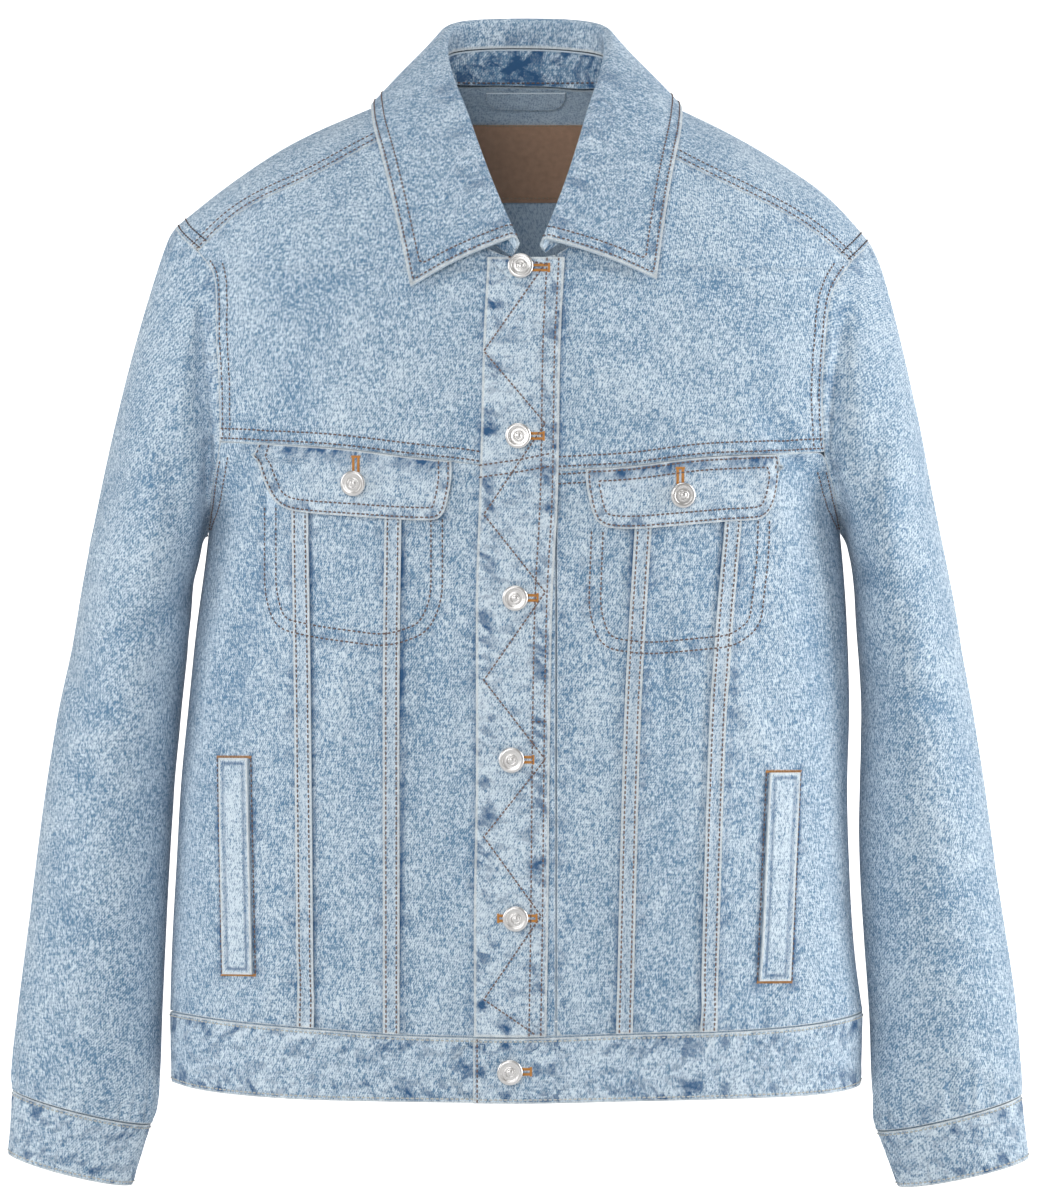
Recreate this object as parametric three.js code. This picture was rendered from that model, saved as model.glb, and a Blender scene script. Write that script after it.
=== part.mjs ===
// Denim jacket, filled out as if worn, with no wearer. Millimetres, +Z up, the front faces -Y.
// Left is -X, the left of a viewer who stands in front. Z = 0 is the level of the shoulder line at the neck.
import * as THREE from 'three';

// Driving dimensions
const cloth = 1.5;            // wall of a single layer
const doubled = 2.4;          // wall of a folded or doubled piece
const seamGap = 0.3;          // between pieces that are sewn edge to edge
const lapGap = 0.45;          // between a piece and what lies on it
const shoulderY = 5;          // depth of the shoulder line
const armpitZ = -280;
const neckX = 4;
const neckHalf = 65;           // half the neck's width at the shoulder seams
const sectionPower = 2.4;     // fullness of the body's round, across
const depthPower = 2.2;       // fullness of the body's round, front to back
const frontRound = 2.6;       // how soon the chest stands out below the shoulder
const backRound = 3.4;
const buttonRadius = 8.5;
const FRONT = -1;
const BACK = 1;

// Half widths and depths of the body, measured from the middle plane
const bodyRows = [
  { z: -668, left: 230, right: 225, front: 100, back: 94 },
  { z: -650, left: 234, right: 229, front: 102, back: 96 },
  { z: -606, left: 234.5, right: 229.5, front: 105, back: 99 },
  { z: -564, left: 233.5, right: 223.5, front: 110, back: 103 },
  { z: -504, left: 230, right: 220.5, front: 114, back: 107 },
  { z: -453, left: 227.5, right: 219, front: 117, back: 109 },
  { z: -410, left: 223, right: 221, front: 119, back: 111 },
  { z: -340, left: 216, right: 219, front: 121, back: 113 },
  { z: -311, left: 211.5, right: 217, front: 122, back: 114 },
  { z: -280, left: 208, right: 214, front: 123, back: 115 },
  { z: -250, left: 219, right: 224, front: 124, back: 116 },
  { z: -225, left: 226, right: 232, front: 124, back: 117 },
  { z: -160, left: 234, right: 239, front: 124, back: 117 },
  { z: -80, left: 240, right: 244, front: 123, back: 116 },
  { z: 40, left: 242, right: 246, front: 122, back: 114 },
];

// Height of the shoulder line, outward from the middle
const shoulderRows = [
  { x: 0, left: 32, right: 32 },
  { x: 20, left: 30.5, right: 30.5 },
  { x: 45, left: 24, right: 24 },
  { x: 72, left: 12, right: 14 },
  { x: 97, left: 1, right: 4 },
  { x: 127, left: -11, right: -10 },
  { x: 153, left: -23, right: -23 },
  { x: 180, left: -40, right: -40 },
  { x: 203, left: -57, right: -55 },
  { x: 223, left: -69, right: -73 },
  { x: 232, left: -81, right: -86 },
  { x: 240, left: -92, right: -99 },
];

// Where the armhole seam runs as seen from the front
const armholeRows = [
  { z: -280, left: 208, right: 214 },
  { z: -268, left: 206.6, right: 212 },
  { z: -253, left: 205, right: 208.5 },
  { z: -225, left: 200, right: 202 },
  { z: -190, left: 200, right: 201 },
  { z: -159, left: 202.5, right: 203.5 },
  { z: -131, left: 202.5, right: 206 },
  { z: -110, left: 204, right: 216 },
  { z: -97, left: 215.5, right: 229 },
  { z: -86, left: 228, right: 238 },
  { z: -60, left: 240, right: 246 },
];

// Seams that cross the front, height by distance from the middle
const chestSeamRows = [
  { x: 0, left: -247, right: -247 },
  { x: 27, left: -240, right: -244 },
  { x: 67, left: -236, right: -242 },
  { x: 125, left: -229, right: -235 },
  { x: 173, left: -226, right: -233 },
  { x: 215, left: -224, right: -231 },
];
const hemSeamRows = [
  { x: 0, left: -621, right: -621 },
  { x: 70, left: -619.5, right: -618.5 },
  { x: 139, left: -615, right: -617 },
  { x: 190, left: -611, right: -613.5 },
  { x: 218, left: -607.5, right: -609 },
  { x: 235, left: -605, right: -604 },
];
const hemEdgeRows = [
  { x: 0, left: -665, right: -665 },
  { x: 139, left: -663, right: -662.5 },
  { x: 190, left: -660, right: -661 },
  { x: 218, left: -656.5, right: -658 },
  { x: 235, left: -652, right: -652 },
];
const shoulderSeamRows = [
  { x: 60, left: -7, right: -8 },
  { x: 95, left: -23, right: -31 },
  { x: 144, left: -50, right: -55.5 },
  { x: 177, left: -64, right: -71.5 },
  { x: 199, left: -78, right: -85 },
  { x: 215, left: -96.5, right: -99 },
  { x: 222, left: -103, right: -105.5 },
];
const neckFrontRows = [
  { x: 0, z: -104 },
  { x: 22, z: -99 },
  { x: 40, z: -84 },
  { x: 53, z: -60 },
  { x: 61, z: -34 },
  { x: neckHalf, z: -8 },
];
const shoulderAlong = 0.8;     // where the shoulder line crosses the neck seam, of the way to the shoulder seam
const neckBackRows = [
  { along: 0, x: 0, turn: 0.233 },
  { along: 0.3, x: 30, turn: 0.215 },
  { along: 0.6, x: 56, turn: 0.135 },
  { along: shoulderAlong, x: 67.5, turn: 0 },
];
const backYokeSeamZ = -158;

// Soft folds of the body: centre, lean in degrees, half length, half width and depth, in or out
const bodyFolds = [
  { side: FRONT, x: -152, z: -318, lean: 62, length: 66, width: 22, depth: -2.4 },
  { side: FRONT, x: -118, z: -420, lean: 76, length: 80, width: 22, depth: 2.2 },
  { side: FRONT, x: 152, z: -330, lean: -64, length: 66, width: 22, depth: -2.2 },
  { side: FRONT, x: 104, z: -430, lean: -78, length: 84, width: 22, depth: 2.2 },
  { side: FRONT, x: -58, z: -500, lean: 84, length: 100, width: 22, depth: -2.0 },
  { side: FRONT, x: 46, z: -520, lean: -86, length: 100, width: 22, depth: -1.8 },
  { side: FRONT, x: -60, z: -172, lean: 38, length: 50, width: 22, depth: -1.8 },
  { side: FRONT, x: 104, z: -170, lean: -42, length: 54, width: 22, depth: -2.0 },
  { side: BACK, x: -110, z: -330, lean: 58, length: 90, width: 26, depth: 3.4 },
  { side: BACK, x: 118, z: -352, lean: -60, length: 86, width: 26, depth: 3.2 },
  { side: BACK, x: 10, z: -470, lean: 4, length: 110, width: 26, depth: -3.0 },
  { side: BACK, x: -70, z: -540, lean: -8, length: 90, width: 24, depth: 2.4 },
  { side: BACK, x: 84, z: -560, lean: 10, length: 80, width: 24, depth: -2.2 },
];

// Sleeve rings from the armhole down: outer and inner ends in the front view, middle and half of the depth
const sleeveRows = {
  left: [
    { outerX: -235.5, outerZ: -86, innerX: -209.3, innerZ: -281.5, midY: 1, halfDepth: 66 },
    { outerX: -239, outerZ: -96, innerX: -210.5, innerZ: -284.5, midY: 1, halfDepth: 66 },
    { outerX: -244, outerZ: -110, innerX: -212, innerZ: -290, midY: 1, halfDepth: 68 },
    { outerX: -254, outerZ: -142, innerX: -214.5, innerZ: -304, midY: 2, halfDepth: 71 },
    { outerX: -263, outerZ: -176, innerX: -217, innerZ: -320, midY: 3, halfDepth: 72 },
    { outerX: -273, outerZ: -217, innerX: -219.5, innerZ: -338, midY: 5, halfDepth: 71 },
    { outerX: -284, outerZ: -262, innerX: -222, innerZ: -362, midY: 8, halfDepth: 69 },
    { outerX: -295, outerZ: -320, innerX: -225, innerZ: -392, midY: 10, halfDepth: 65 },
    { outerX: -303, outerZ: -365, innerX: -227.5, innerZ: -420, midY: 12, halfDepth: 61 },
    { outerX: -310, outerZ: -403, innerX: -230, innerZ: -446, midY: 12, halfDepth: 58 },
    { outerX: -318, outerZ: -450, innerX: -233, innerZ: -484, midY: 12, halfDepth: 55 },
    { outerX: -326, outerZ: -509, innerX: -236, innerZ: -534, midY: 12, halfDepth: 52 },
    { outerX: -331.5, outerZ: -550, innerX: -237.5, innerZ: -570, midY: 12, halfDepth: 49 },
    { outerX: -337, outerZ: -600, innerX: -239.5, innerZ: -616, midY: 12, halfDepth: 45 },
    { outerX: -341, outerZ: -636, innerX: -240.5, innerZ: -653, midY: 12, halfDepth: 41 },
    { outerX: -341.5, outerZ: -657.5, innerX: -246, innerZ: -680.5, midY: 12, halfDepth: 34 },
  ],
  right: [
    { outerX: 238, outerZ: -95.5, innerX: 215.3, innerZ: -281.5, midY: 1, halfDepth: 66 },
    { outerX: 241, outerZ: -103, innerX: 216.5, innerZ: -284.5, midY: 1, halfDepth: 66 },
    { outerX: 245.5, outerZ: -116, innerX: 218, innerZ: -290, midY: 1, halfDepth: 68 },
    { outerX: 254, outerZ: -148, innerX: 220.5, innerZ: -304, midY: 2, halfDepth: 71 },
    { outerX: 262, outerZ: -184, innerX: 222, innerZ: -320, midY: 3, halfDepth: 72 },
    { outerX: 270, outerZ: -220, innerX: 224, innerZ: -338, midY: 5, halfDepth: 71 },
    { outerX: 279, outerZ: -264, innerX: 226, innerZ: -362, midY: 8, halfDepth: 69 },
    { outerX: 291, outerZ: -322, innerX: 228, innerZ: -392, midY: 10, halfDepth: 65 },
    { outerX: 299, outerZ: -365, innerX: 228, innerZ: -420, midY: 12, halfDepth: 61 },
    { outerX: 304, outerZ: -403, innerX: 227, innerZ: -446, midY: 12, halfDepth: 58 },
    { outerX: 312, outerZ: -450, innerX: 226.5, innerZ: -484, midY: 12, halfDepth: 55 },
    { outerX: 320, outerZ: -509, innerX: 228.5, innerZ: -534, midY: 12, halfDepth: 52 },
    { outerX: 327, outerZ: -551, innerX: 231, innerZ: -570, midY: 12, halfDepth: 49 },
    { outerX: 333.5, outerZ: -600, innerX: 234, innerZ: -616, midY: 12, halfDepth: 45 },
    { outerX: 336.5, outerZ: -638, innerX: 235, innerZ: -655, midY: 12, halfDepth: 41 },
    { outerX: 337.5, outerZ: -661, innerX: 238, innerZ: -685, midY: 12, halfDepth: 34 },
  ],
};

// What the first rings take of the armhole's own shape, how far the cloth sinks in beside the seam, and how
// far the head stands out to the side
const sleeveHeads = {
  left: [
    { ring: 1, armhole: 1, valley: 0, side: 2.5 },
    { ring: 2, armhole: 0.98, valley: 15, side: 4.5 },
    { ring: 3, armhole: 0.9, valley: 3, side: 6 },
    { ring: 4, armhole: 0.5, valley: 0, side: 2.5 },
    { ring: 5, armhole: 0.15, valley: 0, side: 0 },
    { ring: 6, armhole: 0, valley: 0, side: 0 },
    { ring: 7, armhole: 0, valley: 0, side: 0 },
  ],
  right: [
    { ring: 1, armhole: 1, valley: 0, side: 2.5 },
    { ring: 2, armhole: 0.98, valley: 10, side: 4.5 },
    { ring: 3, armhole: 0.9, valley: 2, side: 6 },
    { ring: 4, armhole: 0.5, valley: 0, side: 3 },
    { ring: 5, armhole: 0.15, valley: 0, side: 0 },
    { ring: 6, armhole: 0, valley: 0, side: 0 },
    { ring: 7, armhole: 0, valley: 0, side: 0 },
  ],
};

// Sleeve folds: share of the length, angle from the outer side towards the front, spread in each, depth
const sleeveFolds = [
  { along: 0.3, angle: 100, slant: 0.035, spreadAlong: 0.035, spreadAngle: 60, depth: -5 },
  { along: 0.42, angle: 60, slant: -0.03, spreadAlong: 0.03, spreadAngle: 55, depth: -5.5 },
  { along: 0.49, angle: 110, slant: 0.03, spreadAlong: 0.028, spreadAngle: 50, depth: -5 },
  { along: 0.56, angle: 40, slant: 0.02, spreadAlong: 0.03, spreadAngle: 60, depth: -4.5 },
  { along: 0.68, angle: 95, slant: -0.03, spreadAlong: 0.035, spreadAngle: 55, depth: -4 },
  { along: 0.82, angle: 60, slant: 0.02, spreadAlong: 0.03, spreadAngle: 60, depth: -3.5 },
  { along: 0.34, angle: 255, slant: 0.03, spreadAlong: 0.035, spreadAngle: 60, depth: -5 },
  { along: 0.5, angle: 285, slant: -0.03, spreadAlong: 0.03, spreadAngle: 60, depth: -5 },
  { along: 0.66, angle: 265, slant: 0.03, spreadAlong: 0.035, spreadAngle: 60, depth: -4 },
  { along: 0.84, angle: 275, slant: -0.02, spreadAlong: 0.03, spreadAngle: 60, depth: -3 },
];

const cuffRows = {
  left: {
    top: { outerX: -341, outerZ: -658.3, innerX: -247, innerZ: -681.4, midY: 12, halfDepth: 33 },
    edge: { outerX: -344, outerZ: -701, innerX: -259.5, innerZ: -722, midY: 12, halfDepth: 30 },
  },
  right: {
    top: { outerX: 337, outerZ: -661.9, innerX: 239, innerZ: -686, midY: 12, halfDepth: 33 },
    edge: { outerX: 342, outerZ: -704, innerX: 252.8, innerZ: -723, midY: 12, halfDepth: 30 },
  },
};

// Collar, from the middle of the back to the front end: the roll line, then the outer edge, which lies on the
// body at edgeX and turn (0 on the shoulder line, below 0 on the front), and the place along the neck seam
// (1 at the shoulder seam, 2 at the front end)
const collarRows = {
  left: [
    { x: 4, y: 60, z: 62, edgeX: 4, turn: 0.37, lift: 4, seam: 0 },
    { x: -22, y: 58, z: 61.5, edgeX: -32, turn: 0.355, lift: 4, seam: 0.22 },
    { x: -41, y: 46, z: 59.5, edgeX: -64, turn: 0.3, lift: 4, seam: 0.42 },
    { x: -51, y: 24, z: 54, edgeX: -86, turn: 0.17, lift: 4, seam: 0.62 },
    { x: -53, y: -2, z: 43, edgeX: -98, turn: 0.0, lift: 4, seam: 0.8 },
    { x: -50.5, y: -27, z: 27, edgeX: -98, turn: -0.2, lift: 4, seam: 1 },
    { x: -41, y: -56, z: 4, edgeX: -93, turn: -0.34, lift: 4, seam: 1.2 },
    { x: -26, y: -88.5, z: -41, edgeX: -83, turn: -0.52, lift: 5, seam: 1.5 },
    { x: -5, y: -113, z: -89, edgeX: -72, turn: -0.68, lift: 5.5, seam: 2 },
  ],
  right: [
    { x: 4, y: 60, z: 62, edgeX: 4, turn: 0.37, lift: 4, seam: 0 },
    { x: 30, y: 58, z: 61.5, edgeX: 40, turn: 0.355, lift: 4, seam: 0.22 },
    { x: 50, y: 46, z: 59, edgeX: 72, turn: 0.3, lift: 4, seam: 0.42 },
    { x: 60, y: 24, z: 53, edgeX: 95, turn: 0.17, lift: 4, seam: 0.62 },
    { x: 61, y: -2, z: 42, edgeX: 107, turn: 0.0, lift: 4, seam: 0.8 },
    { x: 58, y: -27, z: 26, edgeX: 107.5, turn: -0.2, lift: 4, seam: 1 },
    { x: 50, y: -56, z: 3, edgeX: 103, turn: -0.36, lift: 4, seam: 1.2 },
    { x: 37, y: -88, z: -43, edgeX: 96, turn: -0.52, lift: 5, seam: 1.5 },
    { x: 18, y: -113, z: -90, edgeX: 90, turn: -0.66, lift: 5.5, seam: 2 },
  ],
};
const rollRadius = 5;
const collarGap = 0.8;
const footInset = 2;
const fallBulge = 1.8;
const neckMiddleY = -25;

// Pieces that lie on the fronts, as seen from the front
const placketRows = [
  { z: -103, left: -21.5, right: 29.5 },
  { z: -168, left: -24.5, right: 26.5 },
  { z: -254, left: -26.7, right: 25.3 },
  { z: -335, left: -29.2, right: 21.3 },
  { z: -440, left: -29, right: 19.5 },
  { z: -550, left: -30.5, right: 18.5 },
  { z: -620, left: -30.5, right: 17.5 },
];
const stripWidth = 11;
const stripRows = [
  { name: 'seam_strip_left_outer', topZ: -263, topX: -146, midZ: -410, midX: -144, endZ: -614, endX: -142.5 },
  { name: 'seam_strip_left_inner', topZ: -268, topX: -84, midZ: -400, midX: -85.5, endZ: -617, endX: -85.5 },
  { name: 'seam_strip_right_inner', topZ: -274, topX: 82, midZ: -410, midX: 74.5, endZ: -616, endX: 69.3 },
  { name: 'seam_strip_right_outer', topZ: -269, topX: 142, midZ: -410, midX: 131, endZ: -615, endX: 125 },
];
const flapRows = {
  left: [
    { x: -172.5, bottom: -237 },
    { x: -168, bottom: -252 },
    { x: -163, bottom: -262 },
    { x: -156, bottom: -268.5 },
    { x: -146, bottom: -270.8 },
    { x: -110, bottom: -274.3 },
    { x: -70, bottom: -277 },
    { x: -56, bottom: -277.3 },
    { x: -49.5, bottom: -273 },
    { x: -46.5, bottom: -262 },
    { x: -45.5, bottom: -252 },
  ],
  right: [
    { x: 44, bottom: -254 },
    { x: 45.5, bottom: -267 },
    { x: 49.5, bottom: -278 },
    { x: 58, bottom: -282.5 },
    { x: 72, bottom: -283 },
    { x: 103, bottom: -280.8 },
    { x: 140, bottom: -277.3 },
    { x: 158, bottom: -276.5 },
    { x: 165, bottom: -271 },
    { x: 169, bottom: -256 },
    { x: 170.5, bottom: -243 },
  ],
};
const pocketRows = {
  left: [
    { x: -170, bottom: -320 },
    { x: -166, bottom: -338 },
    { x: -153, bottom: -351 },
    { x: -135, bottom: -356.5 },
    { x: -110, bottom: -360.5 },
    { x: -85, bottom: -361.5 },
    { x: -70, bottom: -356 },
    { x: -57, bottom: -345 },
    { x: -51, bottom: -328 },
  ],
  right: [
    { x: 45.5, bottom: -332 },
    { x: 51, bottom: -352 },
    { x: 64, bottom: -364 },
    { x: 84, bottom: -367 },
    { x: 112, bottom: -365 },
    { x: 140, bottom: -361 },
    { x: 155, bottom: -352 },
    { x: 162, bottom: -338 },
    { x: 164.5, bottom: -318 },
  ],
};
const welts = [
  { name: 'welt_left', topX: -190.5, topZ: -435.5, bottomX: -187.5, bottomZ: -579.5, width: 19.5 },
  { name: 'welt_right', topX: 175.5, topZ: -445, bottomX: 169.5, bottomZ: -584, width: 20 },
];
const buttons = [
  { name: 'button_placket_1', x: 0.3, z: -109.4, on: 'placket' },
  { name: 'button_placket_2', x: -1.3, z: -221.4, on: 'placket' },
  { name: 'button_placket_3', x: -3.3, z: -328.8, on: 'placket' },
  { name: 'button_placket_4', x: -5.7, z: -436.2, on: 'placket' },
  { name: 'button_placket_5', x: -3, z: -541.6, on: 'placket' },
  { name: 'button_placket_6', x: -6.7, z: -643.7, on: 'band' },
  { name: 'button_flap_left', x: -109, z: -252.5, on: 'flap' },
  { name: 'button_flap_right', x: 106.4, z: -260.1, on: 'flap' },
];
const frontEdge = { left: 23.5, right: 24.5 };       // where each front panel ends, under the placket
const bandEnds = { under: 16, over: -31, lapFrom: 62, lapFull: 24 };
const label = { x: 5, halfWidth: 46, top: -8.5, bottom: -61, wall: 1.2 };
const hangerLoop = { x: 4, halfWidth: 27, top: 13, bottom: 2, corner: 8, wall: 1.2 };

// Curves through the rows of a table

function through(rows, at, value) {
  const ordered = [...rows].sort((a, b) => a[at] - b[at]);
  const t = ordered.map((row) => row[at]);
  const p = ordered.map((row) => row[value]);
  const last = t.length - 1;
  const slope = p.map((_, i) => {
    if (i === 0) return (p[1] - p[0]) / (t[1] - t[0]);
    if (i === last) return (p[last] - p[last - 1]) / (t[last] - t[last - 1]);
    const before = (p[i] - p[i - 1]) / (t[i] - t[i - 1]);
    const after = (p[i + 1] - p[i]) / (t[i + 1] - t[i]);
    if (before * after <= 0) return 0;
    return 2 * before * after / (before + after);
  });
  return (x) => {
    if (x <= t[0]) return p[0];
    if (x >= t[last]) return p[last];
    let i = 0;
    while (x > t[i + 1]) i += 1;
    const span = t[i + 1] - t[i];
    const s = (x - t[i]) / span;
    const s2 = s * s;
    const s3 = s2 * s;
    return p[i] * (2 * s3 - 3 * s2 + 1) + slope[i] * span * (s3 - 2 * s2 + s)
      + p[i + 1] * (3 * s2 - 2 * s3) + slope[i + 1] * span * (s3 - s2);
  };
}

const lerp = THREE.MathUtils.lerp;
const clamp = THREE.MathUtils.clamp;
const smooth = (t) => THREE.MathUtils.smoothstep(t, 0, 1);
const steps = (count) => Array.from({ length: count + 1 }, (_, i) => i / count);

// The value that `next` leaves as it is, reached from a start by part steps
function settled(start, next) {
  const stepCount = 40;
  const stepShare = 0.4;
  let value = start;
  for (let i = 0; i < stepCount; i += 1) value = lerp(value, next(value), stepShare);
  return value;
}

function bothSides(rows, at) {
  const left = through(rows, at, 'left');
  const right = through(rows, at, 'right');
  return { left, right };
}

const halfWidths = bothSides(bodyRows, 'z');
const frontDepth = through(bodyRows, 'z', 'front');
const backDepth = through(bodyRows, 'z', 'back');
const shoulderLine = bothSides(shoulderRows, 'x');
const armhole = bothSides(armholeRows, 'z');
const chestSeam = bothSides(chestSeamRows, 'x');
const hemSeam = bothSides(hemSeamRows, 'x');
const hemEdge = bothSides(hemEdgeRows, 'x');
const shoulderSeam = bothSides(shoulderSeamRows, 'x');
const neckFront = through(neckFrontRows, 'x', 'z');

const sideOf = (x) => (x < 0 ? 'left' : 'right');
const alongX = (pair, x) => pair[sideOf(x)](Math.abs(x));

// The body's surface

function foldDepth(x, z, side) {
  let depth = 0;
  for (const fold of bodyFolds) {
    if (fold.side !== side) continue;
    const lean = THREE.MathUtils.degToRad(fold.lean);
    const dx = x - fold.x;
    const dz = z - fold.z;
    const along = (dx * Math.cos(lean) + dz * Math.sin(lean)) / fold.length;
    const across = (dz * Math.cos(lean) - dx * Math.sin(lean)) / fold.width;
    depth += fold.depth * Math.exp(-along * along - across * across);
  }
  return depth;
}

function bodyPoint(x, z, side) {
  const half = halfWidths[sideOf(x)](z);
  const share = Math.min(1, Math.abs(x) / half);
  const depth = side === FRONT ? frontDepth(z) : backDepth(z);
  const chest = side * depth * (1 - share ** sectionPower) ** (1 / depthPower);
  const top = alongX(shoulderLine, x);
  const below = clamp((top - z) / (top - armpitZ), 0, 1);
  const power = side === FRONT ? frontRound : backRound;
  const rounding = Math.sqrt(1 - (1 - below) ** power);
  const fold = side * foldDepth(x, z, side) * (1 - share ** 6) * rounding;
  return new THREE.Vector3(x, shoulderY + (chest - shoulderY) * rounding + fold, z);
}

function bodyNormal(x, z, side) {
  const reach = 1;
  const across = (bodyPoint(x + reach, z, side).y - bodyPoint(x - reach, z, side).y) / (2 * reach);
  const up = (bodyPoint(x, z + reach, side).y - bodyPoint(x, z - reach, side).y) / (2 * reach);
  return new THREE.Vector3(-across * side, side, -up * side).normalize();
}

// A point of the body that carries the body's own normal, so pieces that meet there share their walls' slant
function skin(x, z, side) {
  return Object.assign(bodyPoint(x, z, side), { normal: bodyNormal(x, z, side) });
}

// turn runs over the shoulder: 0 on the shoulder line, below 0 down the front, above 0 down the back
function overShoulder(x, turn) {
  const top = alongX(shoulderLine, x);
  const z = top - turn * turn * (top - armpitZ);
  return skin(x, z, turn < 0 ? FRONT : BACK);
}

function turnAt(x, z, side) {
  const top = alongX(shoulderLine, x);
  return side * Math.sqrt(clamp((top - z) / (top - armpitZ), 0, 1));
}

function movedOut(x, z, side, distance) {
  return bodyPoint(x, z, side).addScaledVector(bodyNormal(x, z, side), distance);
}

// The way round from the middle (0) to the side (a right angle), with the sign of x
function angleAt(x, z) {
  const share = Math.min(1, Math.abs(x) / halfWidths[sideOf(x)](z));
  return Math.sign(x) * Math.asin(share ** (sectionPower / 2));
}

function xAtAngle(angle, z) {
  const half = halfWidths[sideOf(angle)](z);
  return Math.sign(angle) * half * Math.sin(Math.abs(angle)) ** (2 / sectionPower);
}

// Solids from grids of points

function gridNormals(grid, closed) {
  const rows = grid.length;
  const columns = grid[0].length;
  return grid.map((line, i) => line.map((_, j) => {
    const before = closed ? (j + columns - 1) % columns : Math.max(0, j - 1);
    const after = closed ? (j + 1) % columns : Math.min(columns - 1, j + 1);
    const across = line[after].clone().sub(line[before]);
    const along = grid[Math.min(rows - 1, i + 1)][j].clone().sub(grid[Math.max(0, i - 1)][j]);
    return across.cross(along).normalize();
  }));
}

function solid(points, faces) {
  const geometry = new THREE.BufferGeometry();
  geometry.setAttribute('position', new THREE.Float32BufferAttribute(points.flatMap((p) => p.toArray()), 3));
  geometry.setIndex(faces.flat());
  return geometry;
}

// A wall whose outer face stands off the grid by the lift. Points that carry no normal of their own take the
// grid's, on the side that `outward` points to.
function wall(grid, thickness, { closed = false, outward = null, lift = () => 0 } = {}) {
  const rows = grid.length;
  const columns = grid[0].length;
  const facing = gridNormals(grid, closed);
  const wanted = (p) => p.normal ?? outward(p);
  let vote = 0;
  grid.forEach((line, i) => line.forEach((p, j) => { vote += facing[i][j].dot(wanted(p)); }));
  const turned = vote < 0;
  const normalAt = (p, i, j) => p.normal ?? facing[i][j].clone().multiplyScalar(turned ? -1 : 1);
  const face = (depth) => grid.flatMap((line, i) => line.map((p, j) => (
    new THREE.Vector3().copy(p).addScaledVector(normalAt(p, i, j), lift(i, j) - depth))));
  const points = [...face(0), ...face(thickness)];
  const count = rows * columns;
  const id = (i, j) => i * columns + (j % columns);
  const faces = [];
  const quad = (a, b, c, d) => {
    if (turned) faces.push([a, c, b], [a, d, c]);
    else faces.push([a, b, c], [a, c, d]);
  };
  const spans = closed ? columns : columns - 1;
  for (let i = 0; i < rows - 1; i += 1) {
    for (let j = 0; j < spans; j += 1) {
      const [a, b, c, d] = [id(i, j), id(i, j + 1), id(i + 1, j + 1), id(i + 1, j)];
      quad(a, b, c, d);
      quad(a + count, d + count, c + count, b + count);
    }
  }
  const end = rows - 1;
  for (let j = 0; j < spans; j += 1) {
    quad(id(0, j), id(0, j) + count, id(0, j + 1) + count, id(0, j + 1));
    quad(id(end, j + 1), id(end, j + 1) + count, id(end, j) + count, id(end, j));
  }
  const side = columns - 1;
  for (let i = 0; i < end && !closed; i += 1) {
    quad(id(i, 0), id(i + 1, 0), id(i + 1, 0) + count, id(i, 0) + count);
    quad(id(i + 1, side), id(i, side), id(i, side) + count, id(i + 1, side) + count);
  }
  return solid(points, faces);
}

const finishes = {
  denim: { color: 0x7a97bb, roughness: 0.9, metalness: 0 },
  denimInside: { color: 0x9fb0c4, roughness: 0.92, metalness: 0 },
  steel: { color: 0xd9d9d6, roughness: 0.28, metalness: 1 },
  leather: { color: 0x7a4a28, roughness: 0.6, metalness: 0 },
};

const jacket = new THREE.Group();

function add(name, geometry, finish) {
  const mesh = new THREE.Mesh(geometry, new THREE.MeshStandardMaterial(finishes[finish]));
  mesh.name = name;
  jacket.add(mesh);
  return mesh;
}

const half = seamGap / 2;
const sideSeamGap = 0.5;
const nearArmhole = 215;       // a distance from the middle, from which places on the armhole are found

// Front and back panels, from the hem seam up to the yokes, with a row at the level of the armpit

const armpitShare = 0.84;
const panelRows = [...steps(10).map((t) => t * armpitShare), 0.88, 0.92, 0.96, 1];

function panelEdgeX(sign, z) {
  const side = sign < 0 ? 'left' : 'right';
  return sign * (z > armpitZ ? armhole[side](z) - half : halfWidths[side](z));
}

function panelRow(v, bottomZ, topZ, ends, side, shares) {
  const level = (x) => (v <= armpitShare
    ? lerp(bottomZ(x) + half, armpitZ, v / armpitShare)
    : lerp(armpitZ, topZ(x) - half, (v - armpitShare) / (1 - armpitShare)));
  const edgeLevel = (sign) => settled(level(sign * nearArmhole), (z) => level(panelEdgeX(sign, z)));
  const levels = { left: edgeLevel(-1), right: edgeLevel(1) };
  const angles = ends.map((end) => (end.seam
    ? angleAt(panelEdgeX(end.seam, levels[sideOf(end.seam)]), levels[sideOf(end.seam)])
    : angleAt(end.x, levels[sideOf(end.x)])));
  return shares.map((u) => {
    const angle = lerp(angles[0], angles[1], u);
    const x = xAtAngle(angle, levels[sideOf(angle)]);
    const point = skin(x, level(x), side);
    if (side * point.y < sideSeamGap) point.y = side * sideSeamGap;
    return point;
  });
}

const chestSeamZ = (x) => alongX(chestSeam, x);
const hemSeamZ = (x) => alongX(hemSeam, x);
const hemEdgeZ = (x) => alongX(hemEdge, x);
const hemSide = 235;           // half width of the hem at the side seam
const backShare = 0.35;        // how much of the front's sag the back has
const backHemSeamZ = (x) => lerp(alongX(hemSeam, Math.sign(x) * hemSide), hemSeamZ(x), backShare);
const backHemEdgeZ = (x) => lerp(alongX(hemEdge, Math.sign(x) * hemSide), hemEdgeZ(x), backShare);

const frontShares = steps(14);
const fronts = [
  { hand: 'left', ends: [{ x: frontEdge.left }, { seam: -1 }] },
  { hand: 'right', ends: [{ x: frontEdge.right }, { seam: 1 }] },
];
for (const { hand, ends } of fronts) {
  const rows = panelRows.map((v) => panelRow(v, hemSeamZ, chestSeamZ, ends, FRONT, frontShares));
  add(`front_panel_${hand}`, wall(rows, cloth), 'denim');
}

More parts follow.
